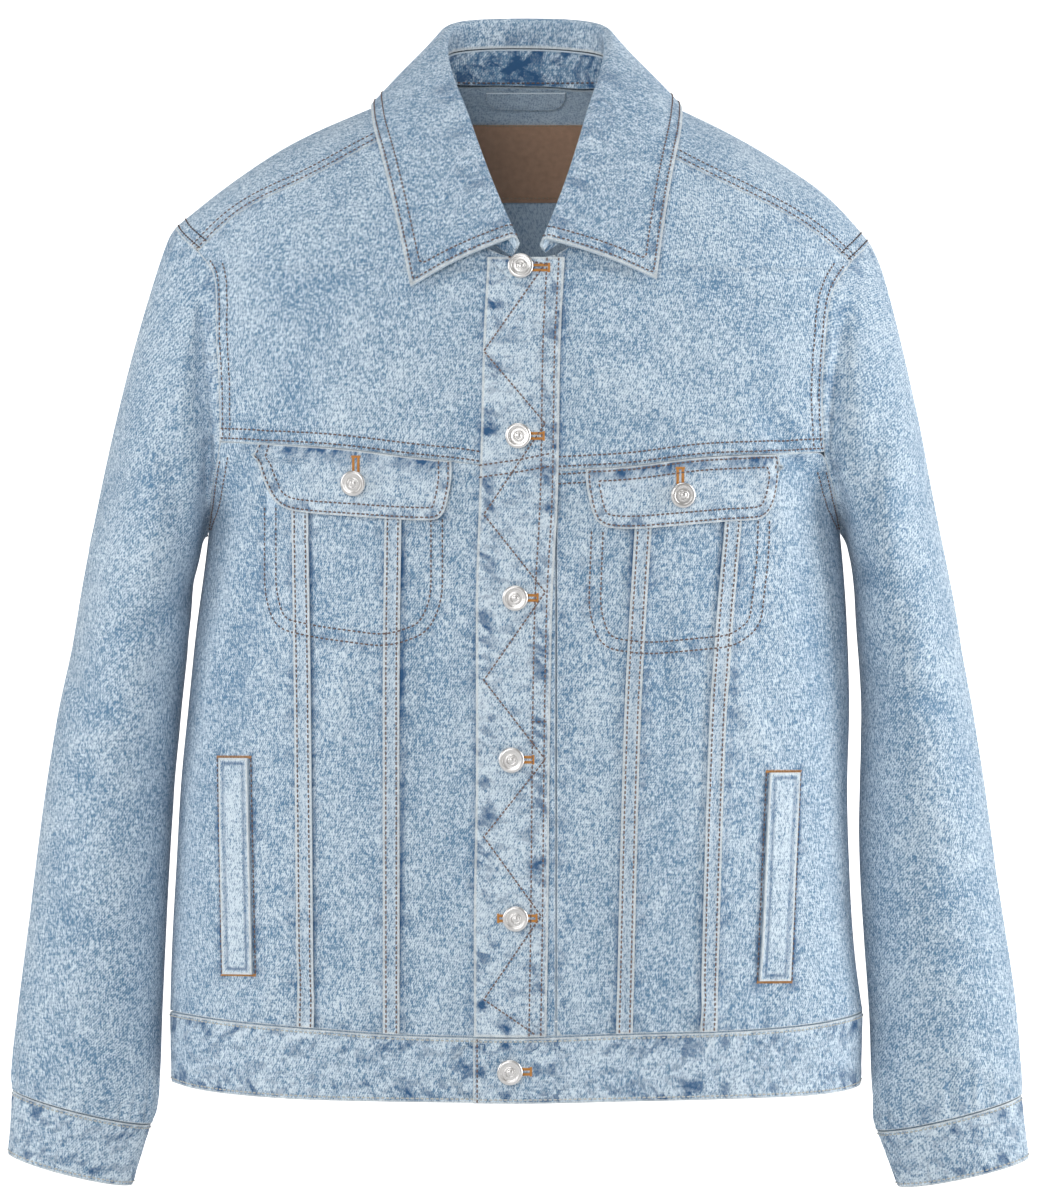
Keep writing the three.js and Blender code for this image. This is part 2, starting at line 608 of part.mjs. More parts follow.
const backPanelRows = panelRows.map((v) => panelRow(
  v, backHemSeamZ, () => backYokeSeamZ, [{ seam: -1 }, { seam: 1 }], BACK, steps(20)));
add('back_panel', wall(backPanelRows, cloth), 'denim');

// Chest yokes, between the chest seam below and the neck and shoulder seam above

function shoulderSeamEnd(sign) {
  return settled(sign * nearArmhole, (x) => sign * armhole[sideOf(sign)](alongX(shoulderSeam, x)));
}

const neckEndX = (sign) => neckX + sign * neckHalf;

// turning runs from the middle of the neck (0) to the shoulder seam (1 or -1)
function neckFrontAt(turning) {
  const x = neckX + neckHalf * Math.sin(turning * Math.PI / 2);
  const z = neckFront(Math.abs(x - neckX));
  const end = alongX(shoulderSeam, neckEndX(Math.sign(turning)));
  return { x, z: lerp(z, end, Math.abs(turning) ** 6) };
}

const neckShare = 0.5;
const neckGap = 1;
const yokeShares = [0, 0.18, 0.36, 0.52, 0.67, 0.8, 0.9, 1];
for (const { hand, ends } of fronts) {
  const sign = hand === 'left' ? -1 : 1;
  const bottom = panelRow(1, hemSeamZ, chestSeamZ, ends, FRONT, frontShares);
  const startTurning = Math.asin((ends[0].x - neckX) / neckHalf) * 2 / Math.PI;
  const top = frontShares.map((u) => {
    if (u <= neckShare) return neckFrontAt(lerp(startTurning, sign, u / neckShare));
    const x = lerp(neckEndX(sign), shoulderSeamEnd(sign), (u - neckShare) / (1 - neckShare));
    return { x, z: alongX(shoulderSeam, x) };
  });
  const low = bottom.map((p) => ({ x: p.x, z: p.z + seamGap }));
  const high = top.map((p, j) => ({ x: p.x, z: p.z - (frontShares[j] < neckShare ? neckGap : half) }));
  const last = frontShares.length - 1;
  const grid = yokeShares.map((v) => {
    const edgeZ = lerp(low[last].z, high[last].z, v);
    const edgeShift = sign * (armhole[hand](edgeZ) - half) - lerp(low[last].x, high[last].x, v);
    return frontShares.map((u, j) => {
      const shift = v > 0 && v < 1 ? edgeShift * u ** 3 : 0;
      return skin(lerp(low[j].x, high[j].x, v) + shift, lerp(low[j].z, high[j].z, v), FRONT);
    });
  });
  add(`front_yoke_${hand}`, wall(grid, cloth), 'denim');
}

// Back yoke, laid out over the shoulders between the neck and the armholes

const neckBackX = through(neckBackRows, 'along', 'x');
const neckBackTurn = through(neckBackRows, 'along', 'turn');

function neckAround(along) {
  const sign = Math.sign(along) || 1;
  const t = Math.abs(along);
  if (t <= shoulderAlong) return { x: neckX + sign * neckBackX(t), turn: neckBackTurn(t) };
  const x = neckEndX(sign);
  const end = turnAt(x, alongX(shoulderSeam, x), FRONT);
  const past = (t - shoulderAlong) / (1 - shoulderAlong);
  return { x: lerp(neckX + sign * neckBackX(shoulderAlong), x, past), turn: lerp(0, end, past) };
}

function armholeAt(sign, turn, gap) {
  const hand = sideOf(sign);
  const level = (x) => {
    const top = alongX(shoulderLine, x);
    return top - turn * turn * (top - armpitZ);
  };
  return { x: settled(sign * nearArmhole, (x) => sign * armhole[hand](level(x))) + gap, turn };
}

const sleeveSides = 24;        // points round a sleeve, which the back yoke's edge shares
const yokeOuter = [];
const yokeInner = [];
const frontTurn = (sign) => turnAt(shoulderSeamEnd(sign), alongX(shoulderSeam, shoulderSeamEnd(sign)), FRONT);
const backCornerX = (sign) => sign * armhole[sideOf(sign)](backYokeSeamZ + half);
const backTurn = (sign) => turnAt(backCornerX(sign), backYokeSeamZ + half, BACK);
const ringTurns = [-2, -1, 0, 1, 2, 3, 4, 5].map((k) => Math.sin(k * Math.PI / sleeveSides));
const armholeTurns = (sign) => [frontTurn(sign), ...ringTurns, backTurn(sign)];
const cornerAlong = 0.62;
armholeTurns(-1).forEach((turn, i, all) => {
  yokeOuter.push(armholeAt(-1, turn, half));
  yokeInner.push(neckAround(lerp(-1, -cornerAlong, i / (all.length - 1))));
});
for (const u of steps(12).slice(1, -1)) {
  const x = lerp(backCornerX(-1), backCornerX(1), u);
  yokeOuter.push({ x, turn: turnAt(x, backYokeSeamZ + half, BACK) });
  yokeInner.push(neckAround(lerp(-cornerAlong, cornerAlong, u)));
}
armholeTurns(1).reverse().forEach((turn, i, all) => {
  yokeOuter.push(armholeAt(1, turn, -half));
  yokeInner.push(neckAround(lerp(cornerAlong, 1, i / (all.length - 1))));
});
const yokeGrid = steps(yokeShares.length - 1).map((v) => yokeInner.map((inner, j) => {
  const outer = yokeOuter[j];
  const x = lerp(inner.x, outer.x, v);
  const onSeam = j === 0 || j === yokeInner.length - 1;
  const turn = onSeam ? turnAt(x, alongX(shoulderSeam, x) + half, FRONT) : lerp(inner.turn, outer.turn, v);
  return overShoulder(x, turn);
}));
add('back_yoke', wall(yokeGrid, cloth), 'denim');

// Sleeves and cuffs

const around = (count) => Array.from({ length: count }, (_, j) => j / count);
const sleeveLevels = 17;
const armholeGap = 0.6;
const cuffDrop = 4.5;          // how much lower the front of the sleeve's end hangs
const dropFrom = 0.8;
const valleyEdge = { from: 0.35, span: 0.4 };
const valleyTop = { from: 0.6, span: 0.5 };
const bodyMiddleY = 10;

// share runs round the sleeve: 0 outer, a quarter at the front, a half inside, three quarters at the back
function armholeLoop(sign, share) {
  const front = share <= 0.5;
  const theta = 2 * Math.PI * (front ? share : 1 - share);
  const at = armholeAt(sign, (front ? FRONT : BACK) * Math.sin(theta / 2), sign * armholeGap);
  return new THREE.Vector3().copy(overShoulder(at.x, at.turn));
}

function ringPoint(ring, share, drop = 0) {
  const theta = 2 * Math.PI * share;
  const swing = (1 + Math.cos(theta)) / 2;
  return new THREE.Vector3(
    lerp(ring.innerX, ring.outerX, swing),
    ring.midY - ring.halfDepth * Math.sin(theta),
    lerp(ring.innerZ, ring.outerZ, swing) - drop * Math.max(0, Math.sin(theta)),
  );
}

function sleeveFoldDepth(along, share) {
  let depth = 0;
  for (const fold of sleeveFolds) {
    const angle = share * 360 - fold.angle;
    const off = (along - fold.along - fold.slant * angle / 60) / fold.spreadAlong;
    depth += fold.depth * Math.exp(-off * off - (angle / fold.spreadAngle) ** 2);
  }
  return depth;
}

for (const hand of ['left', 'right']) {
  const sign = hand === 'left' ? -1 : 1;
  const rows = sleeveRows[hand].map((row, i, all) => ({ ...row, along: (i + 1) / all.length }));
  const heads = sleeveHeads[hand].map((row) => ({ ...row, along: row.ring / rows.length }));
  const ringCurves = ['outerX', 'outerZ', 'innerX', 'innerZ', 'midY', 'halfDepth'].map((name) => (
    [name, through(rows, 'along', name)]));
  const headCurves = ['armhole', 'valley', 'side'].map((name) => [name, through(heads, 'along', name)]);
  const curves = [...ringCurves, ...headCurves];
  const first = rows.slice(0, 4).map((row) => row.along);
  const top = armholeLoop(sign, 0);
  const low = armholeLoop(sign, 0.5);
  const start = { ...rows[0], outerX: top.x, outerZ: top.z, innerX: low.x, innerZ: low.z };
  const levels = [0, ...first, ...steps(sleeveLevels).slice(1).map((t) => lerp(first[3], 1, t))];
  const grid = levels.map((along) => around(sleeveSides).map((share) => {
    if (along === 0) return armholeLoop(sign, share);
    const ring = Object.fromEntries(curves.map(([name, curve]) => [name, curve(along)]));
    const point = ringPoint(ring, share, cuffDrop * smooth((along - dropFrom) / (1 - dropFrom)));
    const bend = armholeLoop(sign, share).sub(ringPoint(start, share));
    point.addScaledVector(bend, ring.armhole);
    const theta = 2 * Math.PI * share;
    const inward = new THREE.Vector3(-Math.cos(theta) * sign, Math.sin(theta), 0);
    const facing = smooth((Math.abs(Math.sin(theta)) - valleyEdge.from) / valleyEdge.span)
      * smooth((valleyTop.from - Math.cos(theta)) / valleyTop.span);
    point.x += sign * ring.side * Math.sin(theta) ** 2;
    point.y += Math.sign(0.5 - share) * ring.valley * facing;
    return point.addScaledVector(inward, -sleeveFoldDepth(along, share));
  }));
  add(`sleeve_${hand}`, wall(grid, cloth, {
    closed: true,
    outward: (p) => new THREE.Vector3(0, p.y - bodyMiddleY, 0),
  }), 'denim');
}

for (const hand of ['left', 'right']) {
  const { top, edge } = cuffRows[hand];
  const grid = steps(3).map((v) => around(sleeveSides).map((share) => (
    ringPoint(top, share, cuffDrop).lerp(ringPoint(edge, share, cuffDrop), v))));
  add(`cuff_${hand}`, wall(grid, doubled, {
    closed: true,
    outward: (p) => new THREE.Vector3(0, p.y - top.midY, 0),
  }), 'denim');
}

// Hem band, from its end under the placket round the back to its end on top

const bandProud = 0.5;
const bandGap = 0.9;
const bandLap = doubled + lapGap;
const onTopColumns = 16;
const bandColumns = [
  ...steps(14).map((u) => ({ side: FRONT, from: bandEnds.under, to: -1, u })),
  ...steps(22).slice(1).map((u) => ({ side: BACK, from: -1, to: 1, u })),
  ...steps(onTopColumns).slice(1).map((u) => ({ side: FRONT, from: 1, to: bandEnds.over, u })),
];
const bandAngle = (value, z) => (Math.abs(value) === 1 ? value * Math.PI / 2 : angleAt(value, z));
const bandLevels = { top: -612, bottom: -655 };
const bandGrid = steps(2).map((v) => bandColumns.map(({ side, from, to, u }) => {
  const level = lerp(bandLevels.top, bandLevels.bottom, v);
  const x = xAtAngle(lerp(bandAngle(from, level), bandAngle(to, level), u), level);
  const top = side === FRONT ? hemSeamZ(x) : backHemSeamZ(x);
  const bottom = side === FRONT ? hemEdgeZ(x) : backHemEdgeZ(x);
  return skin(x, lerp(top - bandGap, bottom, v), side);
}));
const lapAt = (x) => smooth((bandEnds.lapFrom - x) / (bandEnds.lapFrom - bandEnds.lapFull));
const firstOnTop = bandColumns.length - onTopColumns;
add('hem_band', wall(bandGrid, doubled, {
  lift: (i, j) => bandProud + (j >= firstOnTop ? bandLap * lapAt(bandGrid[i][j].x) : 0),
}), 'denim');

// Pieces that lie on the fronts

function overlay(columns, topZ, bottomZ, rows, thickness, lift) {
  const grid = steps(rows).map((v) => columns.map((column) => {
    const x = typeof column === 'function' ? column(v) : column;
    return skin(x, lerp(topZ(x), bottomZ(x), v), FRONT);
  }));
  return wall(grid, thickness, { lift });
}

const placketLeft = through(placketRows, 'z', 'left');
const placketRight = through(placketRows, 'z', 'right');
const placketTop = placketRows[0].z;
const placketEnd = placketRows[placketRows.length - 1].z;
const placketOuter = lapGap + doubled;
const placketColumns = steps(4).map((u) => (v) => {
  const z = lerp(placketTop, placketEnd, v);
  return lerp(placketLeft(z), placketRight(z), u);
});
add('placket', overlay(placketColumns, () => placketTop, (x) => hemSeamZ(x) + half, 34, doubled,
  () => placketOuter), 'denim');

const stripWall = 1.2;
for (const strip of stripRows) {
  const middle = through([
    { z: strip.topZ, x: strip.topX },
    { z: strip.midZ, x: strip.midX },
    { z: strip.endZ, x: strip.endX },
  ], 'z', 'x');
  const columns = steps(1).map((u) => (v) => (
    middle(lerp(strip.topZ, strip.endZ, v)) + (u - 0.5) * stripWidth));
  add(strip.name, overlay(columns, () => strip.topZ, (x) => hemSeamZ(x) + half, 28, stripWall,
    () => lapGap + stripWall), 'denim');
}

const flapOuter = lapGap + stripWall + lapGap + doubled;
const flapLevels = 5;
const flapSpring = 0.6;        // share of the flap in which it rises off the yoke seam

// Columns across a row table, closer together near its two ends, where the outline turns
function spreadColumns(rows, count) {
  const spread = 0.75;
  const from = rows[0].x;
  const to = rows[rows.length - 1].x;
  return steps(count).map((u) => lerp(from, to, lerp(u, (1 - Math.cos(Math.PI * u)) / 2, spread)));
}

for (const hand of ['left', 'right']) {
  const bottom = through(flapRows[hand], 'x', 'bottom');
  const columns = spreadColumns(flapRows[hand], 14);
  add(`pocket_flap_${hand}`, overlay(columns, (x) => chestSeamZ(x) - half, bottom, flapLevels, doubled,
    (i) => lerp(lapGap + doubled, flapOuter, smooth(i / flapLevels / flapSpring))), 'denim');
}

const pocketWall = 1.2;
const pocketTop = 6;           // below the chest seam
const insideGap = 0.8;
for (const hand of ['left', 'right']) {
  const bottom = through(pocketRows[hand], 'x', 'bottom');
  const columns = spreadColumns(pocketRows[hand], 10);
  add(`pocket_bag_${hand}`, overlay(columns, (x) => chestSeamZ(x) - pocketTop, bottom, 8, pocketWall,
    () => -cloth - insideGap), 'denimInside');
}

const weltWall = 1.8;
for (const welt of welts) {
  const columns = steps(2).map((u) => (v) => (
    lerp(welt.topX, welt.bottomX, v) + (u - 0.5) * welt.width));
  add(welt.name, overlay(columns, () => welt.topZ, () => welt.bottomZ, 10, weltWall,
    () => lapGap + weltWall), 'denim');
}

// Shank buttons: a domed face with a rim, a groove and a middle stud, turned about the button's axis

const buttonSides = 14;
const buttonProfile = [
  { r: 0, y: 0 },
  { r: 3.6, y: 0 },
  { r: 3.6, y: 1.3 },
  { r: buttonRadius - 0.9, y: 1.5 },
  { r: buttonRadius, y: 2.3 },
  { r: buttonRadius - 0.6, y: 3.2 },
  { r: buttonRadius - 2.1, y: 3.2 },
  { r: buttonRadius - 3.1, y: 2.6 },
  { r: 3.4, y: 2.7 },
  { r: 2.4, y: 3.5 },
  { r: 0, y: 3.7 },
];
const standOff = { placket: placketOuter, band: bandProud + bandLap, flap: flapOuter };
for (const button of buttons) {
  const profile = buttonProfile.map(({ r, y }) => new THREE.Vector2(r, y));
  const geometry = new THREE.LatheGeometry(profile, buttonSides);
  const mesh = add(button.name, geometry, 'steel');
  const seat = movedOut(button.x, button.z, FRONT, standOff[button.on]);
  const normal = movedOut(button.x, button.z, FRONT, standOff[button.on] + 1).sub(seat);
  mesh.quaternion.setFromUnitVectors(new THREE.Vector3(0, 1, 0), normal);
  mesh.position.copy(seat.addScaledVector(normal, seamGap));
}

// Collar

function liftedOver(x, turn, distance) {
  const near = { x: 1.5, turn: 0.02 };
  const across = overShoulder(x + near.x, turn).sub(overShoulder(x - near.x, turn));
  const along = overShoulder(x, turn + near.turn).sub(overShoulder(x, turn - near.turn));
  const normal = across.cross(along).normalize();
  if (normal.z < 0) normal.negate();
  return overShoulder(x, turn).addScaledVector(normal, distance);
}

const stations = 12;
const collarNames = ['x', 'y', 'z', 'edgeX', 'turn', 'lift', 'seam'];
const standShare = 0.62;       // where the stand meets the leaf, between the neck seam and the roll
const clearShare = 0.25;       // share of the fall in which the leaf comes to its full lift

function collarAt(hand, t) {
  const rows = collarRows[hand].map((row, station) => ({ ...row, station }));
  const last = rows.length - 1;
  return Object.fromEntries(collarNames.map((name) => [name, through(rows, 'station', name)(t * last)]));
}

const collarLine = [
  ...steps(stations).reverse().map((t) => ({ hand: 'left', t })),
  ...steps(stations).slice(1).map((t) => ({ hand: 'right', t })),
];

function clearOfBody(point, distance) {
  if (point.y > 0 || point.z > alongX(shoulderLine, point.x) - 1) return point;
  const surface = bodyPoint(point.x, point.z, FRONT);
  const normal = movedOut(point.x, point.z, FRONT, 1).sub(surface);
  const stand = (surface.y - point.y) * -normal.y;
  if (stand < distance) point.addScaledVector(normal, distance - stand);
  return point;
}

function neckSeamPoint(hand, along) {
  const sign = hand === 'left' ? -1 : 1;
  if (along <= 1) {
    const { x, turn } = neckAround(sign * along);
    return overShoulder(x, turn);
  }
  const end = collarRows[hand][collarRows[hand].length - 1].x;
  const endTurning = Math.asin((end - neckX) / neckHalf) * 2 / Math.PI;
  const { x, z } = neckFrontAt(lerp(sign, endTurning, along - 1));
  return bodyPoint(x, z, FRONT);
}

// The section through the collar at one station: foot of the stand, joint of stand and leaf, then the leaf
function collarSection({ hand, t }) {
  const row = collarAt(hand, t);
  const edge = liftedOver(row.edgeX, row.turn, row.lift);
  const centre = new THREE.Vector3(row.x, row.y, row.z - rollRadius);
  const out = new THREE.Vector3(edge.x - centre.x, edge.y - centre.y, 0);
  const reach = out.length();
  out.normalize();
  const last = Math.atan2(reach, centre.z - edge.z);
  const roll = steps(5).map((u) => {
    const angle = lerp(Math.PI, last, u);
    return centre.clone().addScaledVector(out, rollRadius * Math.cos(angle))
      .add(new THREE.Vector3(0, 0, rollRadius * Math.sin(angle)));
  });
  const start = roll[roll.length - 1];
  const fall = steps(5).slice(1).map((u) => {
    const point = start.clone().lerp(edge, u);
    const bulge = fallBulge * Math.sin(Math.PI * u);
    point.addScaledVector(out, bulge);
    point.z += bulge;
    return clearOfBody(point, row.lift * smooth(u / clearShare));
  });
  const foot = new THREE.Vector3().copy(neckSeamPoint(hand, row.seam));
  const inward = new THREE.Vector3(neckX - foot.x, neckMiddleY - foot.y, 0).normalize();
  foot.addScaledVector(inward, cloth + footInset);
  const up = roll[0].clone().sub(foot).normalize();
  foot.addScaledVector(up, collarGap);
  const joint = foot.clone().lerp(roll[0], standShare);
  return {
    stand: [foot, foot.clone().lerp(joint, 0.5), joint.clone().addScaledVector(up, -collarGap)],
    leaf: [joint, ...roll, ...fall],
  };
}

const sections = collarLine.map(collarSection);
const lengthwise = (columns) => columns[0].map((_, i) => columns.map((column) => column[i]));
add('collar_leaf', wall(lengthwise(sections.map(({ leaf }) => leaf)), doubled, {
  outward: () => new THREE.Vector3(0, 0, 1),
}), 'denim');
add('collar_stand', wall(lengthwise(sections.map(({ stand }) => stand)), cloth, {
  outward: (p) => new THREE.Vector3(neckX - p.x, neckMiddleY - p.y, 0),
}), 'denim');

// Label and hanger loop, inside the back below the neck

function insideBack(columns, top, bottom, rows, thickness) {
  const grid = steps(rows).map((v) => columns.map((x) => skin(x, lerp(top, bottom(x), v), BACK)));
  return wall(grid, thickness, { lift: () => -cloth - insideGap });
}

const acrossFrom = (x, halfWidth, count) => steps(count).map((u) => x + (2 * u - 1) * halfWidth);
add('label', insideBack(acrossFrom(label.x, label.halfWidth, 8), label.top, () => label.bottom, 5, label.wall),
  'leather');

function loopBottom(x) {
  const { halfWidth, corner, bottom } = hangerLoop;
  const past = Math.max(0, Math.abs(x - hangerLoop.x) - (halfWidth - corner)) / corner;
  return bottom + corner * (1 - Math.sqrt(1 - Math.min(past, 0.98) ** 2));
}

add('hanger_loop', insideBack(acrossFrom(hangerLoop.x, hangerLoop.halfWidth, 12), hangerLoop.top, loopBottom, 2,
  hangerLoop.wall), 'denim');

export default jacket;
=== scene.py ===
import bmesh
import bpy
import math
import numpy as np
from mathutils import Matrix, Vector
from mathutils.bvhtree import BVHTree


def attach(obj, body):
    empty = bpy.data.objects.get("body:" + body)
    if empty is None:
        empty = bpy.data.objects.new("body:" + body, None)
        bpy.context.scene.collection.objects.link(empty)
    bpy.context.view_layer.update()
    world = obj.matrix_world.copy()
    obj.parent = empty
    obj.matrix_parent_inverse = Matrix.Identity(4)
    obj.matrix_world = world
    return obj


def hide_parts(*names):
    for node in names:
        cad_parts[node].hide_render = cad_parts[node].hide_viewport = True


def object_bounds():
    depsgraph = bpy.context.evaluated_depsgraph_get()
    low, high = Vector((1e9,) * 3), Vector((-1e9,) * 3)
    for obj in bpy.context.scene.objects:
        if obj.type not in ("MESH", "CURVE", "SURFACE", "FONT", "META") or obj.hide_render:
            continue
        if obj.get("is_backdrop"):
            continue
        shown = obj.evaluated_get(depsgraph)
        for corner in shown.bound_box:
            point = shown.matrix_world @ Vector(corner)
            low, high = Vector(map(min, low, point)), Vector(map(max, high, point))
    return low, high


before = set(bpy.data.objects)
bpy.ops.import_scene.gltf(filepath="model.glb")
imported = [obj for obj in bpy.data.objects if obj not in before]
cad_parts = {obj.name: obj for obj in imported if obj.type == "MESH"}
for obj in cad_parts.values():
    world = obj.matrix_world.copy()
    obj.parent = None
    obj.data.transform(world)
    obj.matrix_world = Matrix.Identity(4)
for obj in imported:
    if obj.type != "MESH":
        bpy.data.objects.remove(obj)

mm = 0.001
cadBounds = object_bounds()
scene = bpy.context.scene

# Places are in millimetres in the part's frame: x to the viewer's right, z up, the front towards -y.


def plain(value):
    return [plain(v) for v in value] if hasattr(value, "__len__") else float(value)


def deselectAll():
    for other in bpy.context.selected_objects:
        other.select_set(False)


def activate(piece):
    deselectAll()
    piece.select_set(True)
    bpy.context.view_layer.objects.active = piece


def applyModifiers(piece):
    activate(piece)
    for modifier in list(piece.modifiers):
        bpy.ops.object.modifier_apply(modifier=modifier.name)


def readVectors(items, field, count):
    flat = np.empty(count * 3)
    items.foreach_get(field, flat)
    return flat.reshape(-1, 3)


def pointsOf(piece):
    return readVectors(piece.data.vertices, "co", len(piece.data.vertices)) / mm


def normalsOf(piece):
    return readVectors(piece.data.vertices, "normal", len(piece.data.vertices))


def setPoints(piece, points):
    piece.data.vertices.foreach_set("co", (points * mm).ravel())
    piece.data.update()


def setAttribute(piece, name, values):
    layer = piece.data.attributes.new(name, "FLOAT", "POINT")
    layer.data.foreach_set("value", np.asarray(values, dtype=np.float32))


def smoothStep(low, high, value):
    share = np.clip((value - low) / (high - low), 0, 1)
    return share * share * (3 - 2 * share)


# Cloth pieces: the flat cut in metres, how finely each is drawn, its wall and how its seams pucker.
# A pucker names a side by a place near the side's middle, then its folds' spacing, reach, depth and lean.
# A groove is its distance from the edge, width, depth, and how much painted shade darkens its trough
stripCloth = dict(cut=(0.0115, 0.36), level=3, wall=1.2, puckers=[], grooves=[(4.9, 1.3, 0.3, 0.2)])
clothPieces = {
    "front_panel_left": dict(cut=(0.27, 0.42), level=3, wall=1.5, puckers=[
        ((-110, -616), 13, 16, 0.9, 0.2), ((-110, -232), 15, 14, 0.5, -0.2),
        ((-220, -420), 16, 10, 0.3, 0.4)]),
    "front_panel_right": dict(cut=(0.27, 0.42), level=3, wall=1.5, puckers=[
        ((110, -616), 14, 17, 0.9, -0.2), ((110, -236), 15, 14, 0.5, 0.2), ((220, -420), 16, 10, 0.3, -0.4)]),
    "back_panel": dict(cut=(0.56, 0.48), level=3, wall=1.5, puckers=[
        ((0, -608), 15, 16, 0.9, 0.1), ((0, -158), 18, 14, 0.5, -0.1)]),
    "front_yoke_left": dict(cut=(0.25, 0.25), level=3, wall=1.5, puckers=[
        ((-203, -160), 13, 13, 0.7, 0.3), ((-150, -52), 14, 12, 0.5, 0.2)]),
    "front_yoke_right": dict(cut=(0.25, 0.25), level=3, wall=1.5, puckers=[
        ((205, -160), 13, 13, 0.7, -0.3), ((150, -54), 14, 12, 0.5, -0.2)]),
    "back_yoke": dict(cut=(0.56, 0.32), level=3, wall=1.5, puckers=[((0, -158), 16, 14, 0.5, 0.1)]),
    "sleeve_left": dict(cut=(0.45, 0.62), level=3, wall=1.5, puckers=[
        ((-294, -670), 12, 26, 1.6, 0.15), ((-220, -180), 21, 20, 0.8, 0.3)]),
    "sleeve_right": dict(cut=(0.45, 0.62), level=3, wall=1.5, puckers=[
        ((288, -673), 12, 26, 1.6, -0.15), ((222, -185), 21, 20, 0.8, -0.3)]),
    "cuff_left": dict(cut=(0.26, 0.06), level=3, wall=2.4, puckers=[
        ((-294, -670), 9, 14, 0.6, 0.9), ((-302, -711), 9, 12, 0.6, -0.5)]),
    "cuff_right": dict(cut=(0.26, 0.06), level=3, wall=2.4, puckers=[
        ((288, -673), 9, 14, 0.6, -0.9), ((297, -713), 9, 12, 0.6, 0.5)]),
    "hem_band": dict(cut=(1.25, 0.06), level=3, wall=2.4, puckers=[
        ((0, -612), 12, 14, 0.7, 0.9), ((0, -655), 11, 13, 0.7, -0.5)]),
    "placket": dict(cut=(0.056, 0.54), level=3, wall=2.4, puckers=[
        ((-29, -360), 17, 10, 0.6, 0.5), ((20, -360), 13, 9, 0.35, -0.3)]),
    "pocket_flap_left": dict(cut=(0.135, 0.056), level=3, wall=2.4,
                             puckers=[((-110, -275), 12, 11, 0.4, 0.2)],
                             deepSides=[((-108, -233), 9, 0.8)]),
    "pocket_flap_right": dict(cut=(0.135, 0.056), level=3, wall=2.4,
                              puckers=[((108, -279), 12, 11, 0.4, -0.2)],
                              deepSides=[((108, -240), 9, 0.8)]),
    "collar_leaf": dict(cut=(0.56, 0.14), level=3, wall=2.4, held="folded", puckers=[]),
    "collar_stand": dict(cut=(0.46, 0.05), level=3, wall=1.5, puckers=[]),
    "seam_strip_left_outer": stripCloth,
    "seam_strip_left_inner": stripCloth,
    "seam_strip_right_inner": stripCloth,
    "seam_strip_right_outer": stripCloth,
    "welt_left": dict(cut=(0.022, 0.15), level=3, wall=1.8, puckers=[], grooves=[(3.9, 0.9, 0.75, 0.95)]),
    "welt_right": dict(cut=(0.022, 0.15), level=3, wall=1.8, puckers=[], grooves=[(3.9, 0.9, 0.75, 0.95)]),
    "pocket_bag_left": dict(cut=(0.14, 0.14), level=2, wall=1.2, puckers=[]),
    "pocket_bag_right": dict(cut=(0.14, 0.14), level=2, wall=1.2, puckers=[]),
    "hanger_loop": dict(cut=(0.058, 0.0135), level=3, wall=1.2, held="stretched", puckers=[], forward=2.6),
}

# Soft folds on the body: side, x, z, lean in degrees, half length, half width, depth (above 0 is out)
bodyFolds = [
    ("front", -176, -232, 58, 44, 9, -1.3), ("front", -168, -262, 66, 52, 10, -1.5),
    ("front", -186, -300, 74, 60, 9, 1.1), ("front", -190, -372, 82, 70, 10, -1.2),
    ("front", -120, -392, 84, 46, 9, 0.8), ("front", -64, -392, 86, 70, 9, -0.9),
    ("front", -110, -598, 30, 24, 7, 1.0), ("front", -170, -594, 62, 22, 7, 1.1),
    ("front", -146, -588, 112, 24, 7, -1.0), ("front", -54, -600, 70, 22, 7, 0.9),
    ("front", 184, -236, -56, 46, 9, -1.4), ("front", 172, -268, -70, 52, 10, 1.1),
    ("front", 192, -330, -78, 60, 10, -1.2), ("front", 150, -400, -64, 44, 9, 0.8),
    ("front", 96, -380, -86, 60, 9, -0.8), ("front", 52, -420, -86, 70, 9, 0.8),
    ("front", 120, -598, -58, 24, 7, 1.1), ("front", 164, -592, -100, 26, 8, -1.0),
    ("front", 40, -598, -74, 24, 7, 1.0), ("front", -130, -120, 18, 40, 8, -0.8),
    ("front", 140, -126, -20, 42, 8, -0.9), ("front", -92, -190, 24, 50, 10, 0.8),
    ("front", 96, -200, -28, 52, 10, 0.8),
    ("back", -150, -220, 50, 50, 10, 1.6), ("back", -130, -300, 62, 70, 12, -1.5),
    ("back", 140, -236, -52, 52, 10, 1.6), ("back", 122, -320, -64, 70, 12, -1.4),
    ("back", -36, -400, 84, 80, 12, 1.3), ("back", 48, -420, -80, 80, 12, -1.4),
    ("back", -100, -592, 70, 26, 8, 1.1), ("back", -20, -594, 104, 26, 8, -1.0),
    ("back", 70, -590, 78, 28, 8, 1.1), ("back", 150, -592, 96, 26, 8, -1.0),
]

